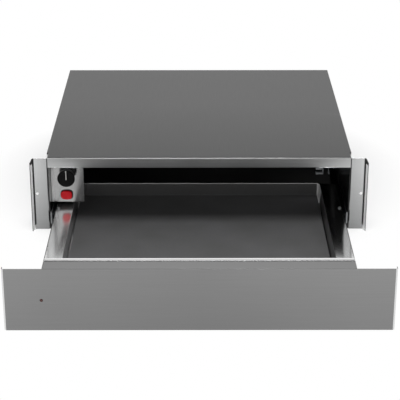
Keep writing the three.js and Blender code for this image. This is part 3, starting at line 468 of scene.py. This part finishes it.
finishOf.update({nodeName: name for name, group in nodeFinish.items() for nodeName in group})
for nodeName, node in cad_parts.items():
    chosen = finishes[finishOf[nodeName]]
    if not node.material_slots:
        node.data.materials.append(chosen)
    for holder in node.material_slots:
        holder.material = chosen


# A piece from its mesh: given its finish, shaded smooth up to an angle, linked, and put on its body.
# It stands in for the nodes in `stands`, if there are any.
def addPiece(name, mesh, finish, body, stands, smoothUpTo):
    mesh.materials.append(finishes[finish])
    mesh.polygons.foreach_set("use_smooth", np.ones(len(mesh.polygons), bool))
    mesh.set_sharp_from_angle(angle=math.radians(smoothUpTo))
    piece = addObject(name, mesh)
    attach(piece, body)
    if stands:
        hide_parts(*stands)
    return piece


# A piece from points in millimetres and faces.
def makePiece(name, points, faces, finish, body, stands, smoothUpTo=32):
    mesh = bpy.data.meshes.new(name)
    mesh.from_pydata(inFrame(points).tolist(), [], faces)
    mesh.validate()
    addPiece(name, mesh, finish, body, stands, smoothUpTo)


# A piece's name from its node's: front_bar gives frontBar.
def pieceName(nodeName):
    first, *others = nodeName.split("_")
    return first + "".join(word.capitalize() for word in others)


# Faces of a grid of rings: ring i joins ring i + 1, and each ring closes on itself.
# Flat caps close the first and last ring unless the rings close on each other.
def ringFaces(ringCount, around, capped=True, offset=0):
    i, j = np.meshgrid(np.arange(ringCount - 1), np.arange(around), indexing="ij")
    following = (j + 1) % around
    quads = np.stack([i * around + j, i * around + following, (i + 1) * around + following,
                      (i + 1) * around + j], axis=-1).reshape(-1, 4) + offset
    faces = quads.tolist()
    if capped:
        faces.append((np.arange(around)[::-1] + offset).tolist())
        faces.append((np.arange(around) + (ringCount - 1) * around + offset).tolist())
    return faces


# A closed outline from corners of (across, up, radius). Each corner becomes a curve that leaves the
# first side a radius before the corner and joins the second a radius after it, and the curve is the
# quadratic of those two points and the corner: (1 - t)^2 a + 2 t (1 - t) corner + t^2 b.
def softOutline(corners, steps=6):
    places = np.array(corners, float)[:, :2]
    radii = np.array(corners, float)[:, 2]
    toLast = np.roll(places, 1, axis=0) - places
    toNext = np.roll(places, -1, axis=0) - places
    lengthLast = np.linalg.norm(toLast, axis=1)
    lengthNext = np.linalg.norm(toNext, axis=1)
    longest = 0.49 * np.minimum(lengthLast, lengthNext)  # just under half, so that curves don't meet
    reach = np.minimum(radii, longest)[:, None]
    a = (places + toLast / lengthLast[:, None] * reach)[:, None]
    b = (places + toNext / lengthNext[:, None] * reach)[:, None]
    t = np.linspace(0.0, 1.0, steps)[None, :, None]
    curve = (1 - t) ** 2 * a + 2 * t * (1 - t) * places[:, None] + t ** 2 * b
    return curve.reshape(-1, 2)


# A profile of (y, z) carried along x. Stations are x; a narrow end keeps y under its limit there.
def carriedAlongX(outline, stations, yLimits=None):
    stations = np.asarray(stations, float)
    y = np.broadcast_to(outline[None, :, 0], (len(stations), len(outline)))
    if yLimits is not None:
        y = np.minimum(y, np.asarray(yLimits, float)[:, None])
    z = np.broadcast_to(outline[None, :, 1], y.shape)
    x = np.broadcast_to(stations[:, None], y.shape)
    return np.stack([x, y, z], axis=-1).reshape(-1, 3)


print("front bar")
bar = {
    "halfWidth": 265.0, "insideHalf": 263.6, "bottom": 116.4, "top": 135.2, "sheet": 1.0,
    "lipDepth": 14.0, "lipStart": 2.1, "lipDrop": 0.6, "endDepth": 1.7, "endStep": 0.1,
    "bottomRound": 2.4, "topRound": 1.0, "insideTopRound": 0.5, "insideBottomRound": 0.8,
    "cutRound": 0.2, "stepRound": 0.1,
}
lipTop = bar["top"] - bar["lipDrop"]
barOutline = softOutline([
    (0, bar["bottom"], bar["bottomRound"]), (0, bar["top"], bar["topRound"]),
    (bar["lipStart"], bar["top"], bar["cutRound"]), (bar["lipStart"], lipTop, bar["stepRound"]),
    (bar["lipDepth"], lipTop, bar["cutRound"]), (bar["lipDepth"], lipTop - bar["sheet"], bar["cutRound"]),
    (bar["sheet"], lipTop - bar["sheet"], bar["insideTopRound"]),
    (bar["sheet"], bar["bottom"] + bar["sheet"], bar["insideBottomRound"]),
    (bar["lipDepth"], bar["bottom"] + bar["sheet"], bar["cutRound"]),
    (bar["lipDepth"], bar["bottom"], bar["cutRound"]),
])
# Towards each end only the front of the section goes on, as far back as endDepth.
barStations = [-bar["halfWidth"], -bar["insideHalf"], -bar["insideHalf"] + bar["endStep"],
               bar["insideHalf"] - bar["endStep"], bar["insideHalf"], bar["halfWidth"]]
barLimits = [bar["endDepth"]] * 2 + [bar["lipDepth"]] * 2 + [bar["endDepth"]] * 2
makePiece(
    "frontBarSkin", carriedAlongX(barOutline, barStations, barLimits),
    ringFaces(len(barStations), len(barOutline)), "front_bar", "casing", ["front_bar"],
)


print("front liner")
liner = {
    "halfWidth": 235.6, "front": -379.8, "stepBack": -353.8, "back": -342.1, "bottom": 2.3,
    "step": 102.5, "top": 105.3, "sheet": 1.0, "steps": 8, "topRound": 3.2, "insideTopRound": 4.2,
    "ridgeRound": 0.6, "footRound": 0.5, "bendRound": 0.3, "cutRound": 0.2,
}
# Its section is a bent sheet that is open at the front, and each end is a plate with the same outside.
wall = liner["sheet"]
insideBack, insideTop = liner["back"] - wall, liner["top"] - wall
insideStep, insideRidge = liner["step"] - wall, liner["stepBack"] + wall
linerOutside = [
    (liner["front"], liner["step"], liner["bendRound"]),
    (liner["stepBack"], liner["step"], liner["cutRound"]),
    (liner["stepBack"], liner["top"], liner["ridgeRound"]),
    (liner["back"], liner["top"], liner["topRound"]),
    (liner["back"], liner["bottom"], liner["footRound"]),
]
linerInside = [
    (liner["front"], liner["bottom"], liner["cutRound"]),
    (liner["front"], liner["bottom"] + wall, liner["cutRound"]),
    (insideBack, liner["bottom"] + wall, liner["bendRound"]),
    (insideBack, insideTop, liner["insideTopRound"]),
    (insideRidge, insideTop, liner["bendRound"]),
    (insideRidge, insideStep, liner["bendRound"]),
    (liner["front"], insideStep, liner["cutRound"]),
]
linerOutline = softOutline([*linerInside, *linerOutside], liner["steps"])
linerEnd = softOutline([linerInside[0], *linerOutside], liner["steps"])
inner = liner["halfWidth"] - wall
middle = carriedAlongX(linerOutline, [-inner, inner])
ends = [
    carriedAlongX(linerEnd, [-liner["halfWidth"], -inner]),
    carriedAlongX(linerEnd, [inner, liner["halfWidth"]]),
]
linerFaces = ringFaces(2, len(linerOutline))
for index, end in enumerate(ends):
    linerFaces += ringFaces(2, len(linerEnd), offset=len(middle) + index * len(end))
makePiece(
    "frontLinerSkin", np.concatenate([middle, *ends]), linerFaces, "front_liner", "drawer",
    ["front_liner"],
)


print("knob")
knob = {
    "centre": (-234.8, 90.9), "front": 13.0, "back": 33.2, "radius": 15.6, "backRadius": 12.2,
    "edge": 1.3, "edgeRings": 5, "faceRadii": (0.4, 6.0, 10.5, 13.2), "dish": 0.3, "around": 240,
    "sideRings": 5, "sideStart": 1.0, "ribs": 40, "ribDepth": 0.3, "ribStart": 0.5,
    "pointerWidth": 1.3, "pointerFrom": -2.0, "pointerTo": 15.2, "pointerRound": 0.8,
    "pointerProud": 0.1, "pointerDeep": 0.7,
}


# A turned body about y: ring k has a radius and a depth, and where it has ribs their depth is pressed
# in by a cosine: radius - ribDepth (1 - cos(ribs angle)) / 2.
def turnedAboutY(centre, radii, depths, around, ribs, ribDepths):
    angle = np.linspace(0.0, 2 * math.pi, around, endpoint=False)[None, :]
    radius = radii[:, None] - ribDepths[:, None] * (0.5 - 0.5 * np.cos(ribs * angle))
    x = centre[0] + radius * np.sin(angle)
    z = centre[1] + radius * np.cos(angle)
    y = np.broadcast_to(depths[:, None], x.shape)
    return np.stack([x, y, z], axis=-1).reshape(-1, 3)


# A quarter turn, in the steps of the knob's and the rocker's rounded edges.
bend = np.linspace(0.0, math.pi / 2, knob["edgeRings"])

# The knob has a dished face, a rounded edge and a ribbed side that tapers towards the plate.
faceRadii = np.array(knob["faceRadii"])
faceDepths = knob["front"] + knob["dish"] * (1 - (faceRadii / faceRadii[-1]) ** 2)
edgeRadii = knob["radius"] - knob["edge"] + knob["edge"] * np.sin(bend)
edgeDepths = knob["front"] + knob["edge"] - knob["edge"] * np.cos(bend)
edgeEnd = knob["front"] + knob["edge"]
sideDepths = np.linspace(edgeEnd + knob["sideStart"], knob["back"], knob["sideRings"])
sideRadii = np.interp(sideDepths, [knob["front"], knob["back"]], [knob["radius"], knob["backRadius"]])
knobRadii = np.concatenate([faceRadii, edgeRadii, sideRadii])
knobDepths = np.concatenate([faceDepths, edgeDepths, sideDepths])
knobRibs = np.where(knobDepths > edgeEnd + knob["ribStart"], knob["ribDepth"], 0.0)
knobPoints = turnedAboutY(knob["centre"], knobRadii, knobDepths, knob["around"], knob["ribs"], knobRibs)
makePiece(
    "knobShell", knobPoints, ringFaces(len(knobRadii), knob["around"]), "knobPlastic", "knob",
    ["control_knob"],
)

# The pointer's ink stands a little proud of the knob's face, and its back is hidden in the knob.
half = knob["pointerWidth"] / 2
pointerOutline = softOutline([
    (across, up, knob["pointerRound"])
    for across, up in ((-half, knob["pointerFrom"]), (half, knob["pointerFrom"]),
                       (half, knob["pointerTo"]), (-half, knob["pointerTo"]))
])
pointerX = knob["centre"][0] + pointerOutline[:, 0]
pointerZ = knob["centre"][1] + pointerOutline[:, 1]
pointerRings = [
    np.column_stack([pointerX, np.full(len(pointerOutline), depth), pointerZ])
    for depth in (knob["front"] - knob["pointerProud"], knob["front"] + knob["pointerDeep"])
]
makePiece(
    "knobPointer", np.concatenate(pointerRings), ringFaces(2, len(pointerOutline)), "whiteInk", "knob",
    (),
)


print("switch")
switch = {
    "centre": (-236.4, 52.8), "half": (10.0, 7.95), "corner": 2.8, "pivot": 37.0, "tilt": 5.0,
    "front": 28.4, "back": 32.1, "edge": 1.1, "faceInsets": (2.6, 4.2, 5.6), "smallest": 0.03,
    "dip": 0.55, "dipReach": 3.0, "around": 72, "bezelHalf": (11.3, 9.2), "bezelCorner": 3.0,
    "bezelFront": 32.2, "bezelBack": 33.9, "bezelWidth": 0.9, "bezelRings": 9,
}


# A rounded rectangle about (0, 0): |x/a|^n + |z/b|^n = 1, with n = corner.
def squareRound(half, corner, around):
    angle = np.linspace(0.0, 2 * math.pi, around, endpoint=False)
    sine, cosine = np.sin(angle), np.cos(angle)
    x = half[0] * np.sign(sine) * np.abs(sine) ** (2 / corner)
    z = half[1] * np.sign(cosine) * np.abs(cosine) ** (2 / corner)
    return np.column_stack([x, z])


# Rocker cap: rings shrink from the rounded edge towards the middle of a face that dips by
# dip (1 - (x / a)^2). The whole is then tilted about the pivot.
rim = squareRound(switch["half"], switch["corner"], switch["around"])
insets = np.concatenate([[0.0], switch["edge"] * (1 - np.cos(bend)), switch["faceInsets"]])
shares = 1 - insets[:, None, None] / np.array(switch["half"])[None, None, :]
capXZ = rim[None] * np.clip(shares, switch["smallest"], 1.0)
edgeY = switch["front"] + switch["edge"] * (1 - np.sin(bend))
faceY = np.full(len(switch["faceInsets"]), switch["front"])
capY = np.concatenate([[switch["back"]], edgeY, faceY])[:, None]
inward = np.clip(insets / switch["dipReach"], 0, 1)[:, None]
capY = capY + switch["dip"] * inward * (1 - (capXZ[..., 0] / switch["half"][0]) ** 2)
tilt = -math.radians(switch["tilt"])
across, deep = capXZ[..., 0], capY - switch["pivot"]
capX = across * math.cos(tilt) - deep * math.sin(tilt)
capY = across * math.sin(tilt) + deep * math.cos(tilt) + switch["pivot"]
cap = np.stack([switch["centre"][0] + capX, capY, switch["centre"][1] + capXZ[..., 1]], axis=-1)
makePiece(
    "rockerCap", cap.reshape(-1, 3), ringFaces(len(insets), len(rim)), "redLens", "rocker",
    ["switch_rocker"],
)

# Bezel: a round-topped band whose outline is the same kind of rounded rectangle, drawn in from its
# edge. Its last ring is joined to its first, which closes its back.
crown = np.linspace(0.0, math.pi, switch["bezelRings"])
bandIn = switch["bezelWidth"] * (0.5 - 0.5 * np.cos(crown))
bandY = switch["bezelBack"] - (switch["bezelBack"] - switch["bezelFront"]) * np.sin(crown)
outer = squareRound(switch["bezelHalf"], switch["bezelCorner"], switch["around"])
band = outer[None] * (1 - bandIn[:, None, None] / np.array(switch["bezelHalf"])[None, None, :])
bandX, bandZ = switch["centre"][0] + band[..., 0], switch["centre"][1] + band[..., 1]
bandPoints = np.stack([bandX, np.broadcast_to(bandY[:, None], bandX.shape), bandZ], axis=-1)
count = len(outer)
bandFaces = ringFaces(len(bandY), count, capped=False)
lastRing = (len(bandY) - 1) * count
here = np.arange(count)
following = (here + 1) % count
bandFaces += np.stack([lastRing + here, lastRing + following, following, here], axis=-1).tolist()
makePiece(
    "switchBezel", bandPoints.reshape(-1, 3), bandFaces, "bezelPlastic", "casing", (),
)


print("drawer well")
well = {
    "ledgeHalf": 256.3, "ledgeFront": -341.8, "ledgeRear": 136.2, "ledgeTop": 30.0, "sheet": 0.9,
    "half": 225.1, "floorHalf": 222.7, "front": -333.8, "rear": 142.4, "floor": 5.9, "corner": 5.0,
    "rimRound": 1.2, "floorRound": 1.0, "underRimOut": 0.81, "underRimRound": 0.3,
    "underFloorRound": 1.4, "hem": 1.3, "hemGap": 0.1, "stepGap": 0.3, "cornerReach": 14.0,
    "stepReach": 8.0, "samples": 9, "roundSteps": 6, "smoothUpTo": 40,
    "ledgeEdge": ((0.5, 0.0), (0.15, 0.12), (0.0, 0.5)),  # how far in and how far down
}
draft = well["floorHalf"] - well["half"]


# A ring at height z: the points of four corners, and even ones along the straight side after each.
def ringOfCorners(corners, z):
    shares = np.linspace(0, 1, well["samples"] + 1)[None, 1:-1, None]
    sides = corners[:, -1:] * (1 - shares) + np.roll(corners[:, :1], -1, axis=0) * shares
    ring = np.concatenate([corners, sides], axis=1).reshape(-1, 2)
    return np.column_stack([ring, np.full(len(ring), z)])


# A ring round the well, a rectangle whose corners are arcs. The side walls lean in by `lean` where
# the front and rear walls stand upright.
def wellRing(grow, z, lean=0.0):
    x1, y0, y1 = well["half"] + grow + lean, well["front"] - grow, well["rear"] + grow
    radius = well["corner"] + grow
    middles = np.array([(x1 - radius, y0 + radius), (x1 - radius, y1 - radius),
                        (-x1 + radius, y1 - radius), (-x1 + radius, y0 + radius)])
    starts = np.array([-90, 0, 90, 180])[:, None]
    turns = np.radians(starts + np.linspace(0, 90, well["samples"])[None, :])
    arcs = middles[:, None] + radius * np.stack([np.cos(turns), np.sin(turns)], axis=-1)
    return ringOfCorners(arcs, z)


# The ledge's outer edge at the same samples. Behind the well it is the well's own rear edge, so each
# rear corner steps in from the wide ledge to the well. Samples are even along each corner's path.
def ledgeRing(inset, z):
    x1, y0 = well["ledgeHalf"] - inset, well["ledgeFront"] + inset
    rear, back = well["ledgeRear"] - inset, well["rear"] + well["sheet"] - inset
    stepX = well["half"] + well["sheet"] + well["stepGap"] - inset
    reach, short = well["cornerReach"], well["stepReach"]
    paths = [
        [(x1 - reach, y0), (x1, y0), (x1, y0 + reach)],
        [(x1, rear - short), (x1, rear), (stepX, rear), (stepX, back), (stepX - short, back)],
        [(-stepX + short, back), (-stepX, back), (-stepX, rear), (-x1, rear), (-x1, rear - short)],
        [(-x1, y0 + reach), (-x1, y0), (-x1 + reach, y0)],
    ]
    corners = []
    for path in paths:
        knots = np.linspace(0, len(path) - 1, well["samples"])
        along = [np.interp(knots, np.arange(len(path)), np.array(path)[:, k]) for k in (0, 1)]
        corners.append(np.column_stack(along))
    return ringOfCorners(np.array(corners), z)


# The fillet between floor and wall: t = 0 is on the floor and a right angle is on the wall.
def filletRings(turns, out, radius, floor):
    return [
        wellRing(out - radius * (1 - math.sin(t)), floor + well["floorRound"] * (1 - math.cos(t)), draft)
        for t in turns
    ]


# The rim between wall and ledge: t = 0 is on the wall and a right angle is on the ledge.
def rimRings(turns, out, radius, top):
    return [
        wellRing(out + radius * (1 - math.cos(t)), top - radius * (1 - math.sin(t))) for t in turns
    ]


# The rings go from the floor up the wall, over the rim, across the ledge and round its hem, and then
# back down on the sheet's other side.
quarter = np.linspace(0, math.pi / 2, well["roundSteps"])
sheet, hem = well["sheet"], well["hem"]
ledgeEdge = [*well["ledgeEdge"], (0.0, hem), (sheet, hem), (sheet + well["hemGap"], sheet)]
underTop, underFloor = well["ledgeTop"] - sheet, well["floor"] - sheet
rings = [
    *filletRings(quarter, 0.0, well["floorRound"], well["floor"]),
    *rimRings(quarter, 0.0, well["rimRound"], well["ledgeTop"]),
    *[ledgeRing(inset, well["ledgeTop"] - down) for inset, down in ledgeEdge],
    *rimRings(quarter[::-1], well["underRimOut"], well["underRimRound"], underTop),
    *filletRings(quarter[::-1], sheet, well["underFloorRound"], underFloor),
]
makePiece(
    "drawerWellSkin", np.concatenate(rings), ringFaces(len(rings), len(rings[0])), "drawer_tub",
    "drawer", ["drawer_tub"], well["smoothUpTo"],
)


print("screws")
screwHead = {
    "radius": 3.4, "height": 1.8, "crownDrop": 0.7, "shank": 1.6, "around": 48,
    "radii": (0.25, 0.6, 0.95, 1.3, 1.65, 2.0, 2.35, 2.8, 3.15, 3.4),
    "slot": 0.42, "slotEase": 0.12, "slotDepth": 0.9, "recess": 2.0, "recessEase": 0.3,
}
# Each kind's place on the right side, the axis it lies along, its shank's length and its body.
screws = {
    "lower_flange": ((266.6, 16.0, 20.0), "x", 3.0, "casing"),
    "upper_flange": ((266.6, 16.0, 112.0), "x", 3.0, "casing"),
    "ledge": ((251.9, 24.0, 30.3), "z", 3.0, "drawer"),
    "front": ((150.0, -340.6, 17.0), "y", 7.0, "drawer"),
}


# A pan head with a cross recess: its height is height - crownDrop (r / R)^3, less a pit along both
# diameters, and its shank follows below. It faces along its axis, or against it if outward is -1.
def crossHead(centre, axis, outward, shankLength):
    angle = np.linspace(0, 2 * math.pi, screwHead["around"], endpoint=False)
    r, a = np.meshgrid(screwHead["radii"], angle, indexing="ij")
    dome = screwHead["height"] - screwHead["crownDrop"] * (r / screwHead["radius"]) ** 3
    nearest = np.minimum(np.abs(r * np.sin(a)), np.abs(r * np.cos(a)))
    inCross = np.clip((screwHead["slot"] - nearest) / screwHead["slotEase"] + 0.5, 0, 1)
    inReach = np.clip((screwHead["recess"] - r) / screwHead["recessEase"] + 0.5, 0, 1)
    top = dome - screwHead["slotDepth"] * inCross * inReach
    lowerRadii = [screwHead["radius"], screwHead["shank"], screwHead["shank"]]
    lowerHeights = [0.0, 0.0, -shankLength]
    r = np.concatenate([r, np.outer(lowerRadii, np.ones(len(angle)))])
    h = np.concatenate([top, np.outer(lowerHeights, np.ones(len(angle)))])
    u, v, w = r * np.cos(angle), outward * r * np.sin(angle), outward * h
    order = {"x": (w, u, v), "y": (v, w, u), "z": (u, v, w)}[axis]
    return np.stack(order, axis=-1).reshape(-1, 3) + centre


for sideName, side in (("left", -1), ("right", 1)):
    for kind, ((x, y, z), axis, shankLength, body) in screws.items():
        nodeName = f"{sideName}_{kind}_screw"
        outward = side if axis == "x" else 1
        points = crossHead((side * x, y, z), axis, outward, shankLength)
        ringCount = len(points) // screwHead["around"]
        faces = [face[::-1] for face in ringFaces(ringCount, screwHead["around"])]
        makePiece(pieceName(nodeName), points, faces, "zincPlate", body, [nodeName])


print("softened sheet edges")
# How wide the eased edge is in millimetres, and the node's body and slot.
softened = {
    "casing_cover": (0.5, "casing", "cover_steel"),
    "front_panel": (0.35, "drawer", "brushed_steel"),
    "control_plate": (0.4, "casing", "polished_steel"),
    "left_mounting_flange": (0.4, "casing", "brushed_steel"),
    "right_mounting_flange": (0.4, "casing", "brushed_steel"),
}
easing = {"segments": 2, "easedFrom": 40, "smoothUpTo": 20, "flatWithin": 1, "samePoint": 1e-6}


# A copy of a node's solid, merged, its flat faces made whole again, and its edges eased.
def softenedCopy(nodeName, width, body):
    name = pieceName(nodeName) + "Eased"
    work = bmesh.new()
    work.from_mesh(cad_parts[nodeName].data)
    bmesh.ops.remove_doubles(work, verts=work.verts, dist=easing["samePoint"])
    flat = math.radians(easing["flatWithin"])
    bmesh.ops.dissolve_limit(work, angle_limit=flat, verts=work.verts, edges=work.edges)
    mesh = bpy.data.meshes.new(name)
    work.to_mesh(mesh)
    work.free()
    mesh.materials.clear()
    finish = finishOf[nodeName]
    piece = addPiece(name, mesh, finish, body, [nodeName], easing["smoothUpTo"])
    ease = piece.modifiers.new("ease", "BEVEL")
    ease.width = width * millimetre
    ease.segments = easing["segments"]
    ease.limit_method = "ANGLE"
    ease.angle_limit = math.radians(easing["easedFrom"])
    ease.harden_normals = True


for nodeName, (width, body, slot) in softened.items():
    softenedCopy(nodeName, width, body)


print("studio")
# Places and sizes here are metres in the frame. The last two lamps lie inside the casing, under its
# cover, and metal doesn't show them.
studio = {
    "sky": 1.0, "fill": 0.4, "shadowReach": (0.3, 0.42),
    "floorColour": "#f6f6f6", "floorRoughness": 0.9, "floorSize": 14.0, "floorHeight": -0.0002,
    "lamps": [
        {"name": "overhead", "place": (0.0, -0.84, 2.3), "aim": (0, -0.25, 0), "size": (0.8, 0.8),
         "watts": 33.0},
        {"name": "behind", "place": (0.0, 1.7, 1.1), "aim": (0, 0.2, 0.1), "size": (1.6, 1.6),
         "watts": 1.5},
        {"name": "leftSoft", "place": (-2.5, 0.2, 1.9), "aim": (0, -0.2, 0), "size": (1.8, 1.8),
         "watts": 16.0},
        {"name": "rightSoft", "place": (2.5, 0.2, 1.9), "aim": (0, -0.2, 0), "size": (1.8, 1.8),
         "watts": 16.0},
        {"name": "underCover", "place": (0.24, -0.05, 0.125), "aim": (0.25, 0.0, 0),
         "size": (0.06, 0.06), "watts": 0.08, "unseen": True},
        {"name": "overMat", "place": (0.0, -0.13, 0.11), "aim": (0, -0.131, 0), "size": (0.4, 0.03),
         "watts": 0.025, "unseen": True},
    ],
}

for lamp in studio["lamps"]:
    light = bpy.data.lights.new(lamp["name"], "AREA")
    light.shape = "RECTANGLE"
    light.size, light.size_y = lamp["size"]
    light.energy = lamp["watts"]
    holder = addObject(lamp["name"], light)
    holder.location = lamp["place"]
    towards = Vector(lamp["aim"]) - Vector(lamp["place"])
    holder.rotation_euler = towards.to_track_quat("-Z", "Y").to_euler()
    holder.visible_camera = False
    holder.visible_glossy = "unseen" not in lamp


# One for a ray that shows what it meets: from the camera, or by way of metal or glass.
def seenRay(tree):
    rays = addNode(tree, "ShaderNodeLightPath").outputs
    seen = rays["Is Camera Ray"]
    for kind in ("Is Glossy Ray", "Is Transmission Ray"):
        pair = {0: seen, 1: rays[kind]}
        seen = addNode(tree, "ShaderNodeMath", {"operation": "MAXIMUM"}, pair).outputs[0]
    return seen


# The sky is plain white where it is seen, also in metal, and lower where it only fills.
world = bpy.data.worlds.new("studioWorld")
bpy.context.scene.world = world
world.use_nodes = True
air = world.node_tree
air.nodes.clear()
span = {"To Min": studio["fill"], "To Max": studio["sky"]}
level = addNode(air, "ShaderNodeMapRange", span, {"Value": seenRay(air)}).outputs["Result"]
glow = addNode(air, "ShaderNodeBackground", {"Color": (1, 1, 1, 1)}, {"Strength": level})
addNode(air, "ShaderNodeOutputWorld", {}, {"Surface": glow.outputs["Background"]})

# The floor keeps the shadow near the drawer and passes into the white backdrop further off.
floorMaterial, tree, place = startMaterial("paleStudioFloor")
paint = {
    "Base Color": linear(studio["floorColour"]), "Roughness": studio["floorRoughness"],
    "Specular IOR Level": 0.0,
}
painted = addNode(tree, "ShaderNodeBsdfPrincipled", paint)
white = addNode(tree, "ShaderNodeEmission", {"Color": (1, 1, 1, 1), "Strength": 1.0})
reach = addNode(tree, "ShaderNodeVectorMath", {"operation": "LENGTH"}, {0: place}).outputs["Value"]
away = {"From Min": studio["shadowReach"][0], "From Max": studio["shadowReach"][1]}
share = addNode(tree, "ShaderNodeMapRange", away, {"Value": reach}).outputs["Result"]
pair = {0: share, 1: seenRay(tree)}
share = addNode(tree, "ShaderNodeMath", {"operation": "MULTIPLY"}, pair).outputs[0]
both = {0: share, 1: painted.outputs["BSDF"], 2: white.outputs["Emission"]}
surface = addNode(tree, "ShaderNodeMixShader", {}, both)
addNode(tree, "ShaderNodeOutputMaterial", {}, {"Surface": surface.outputs["Shader"]})
half = studio["floorSize"] / 2
signs = ((-1, -1), (1, -1), (1, 1), (-1, 1))
floorMesh = bpy.data.meshes.new("studioFloor")
corners = [(x * half, y * half, studio["floorHeight"]) for x, y in signs]
floorMesh.from_pydata(corners, [], [(0, 1, 2, 3)])
floorMesh.materials.append(floorMaterial)
studioFloor = addObject("studioFloor", floorMesh)

bpy.context.scene.view_settings.view_transform = "Standard"
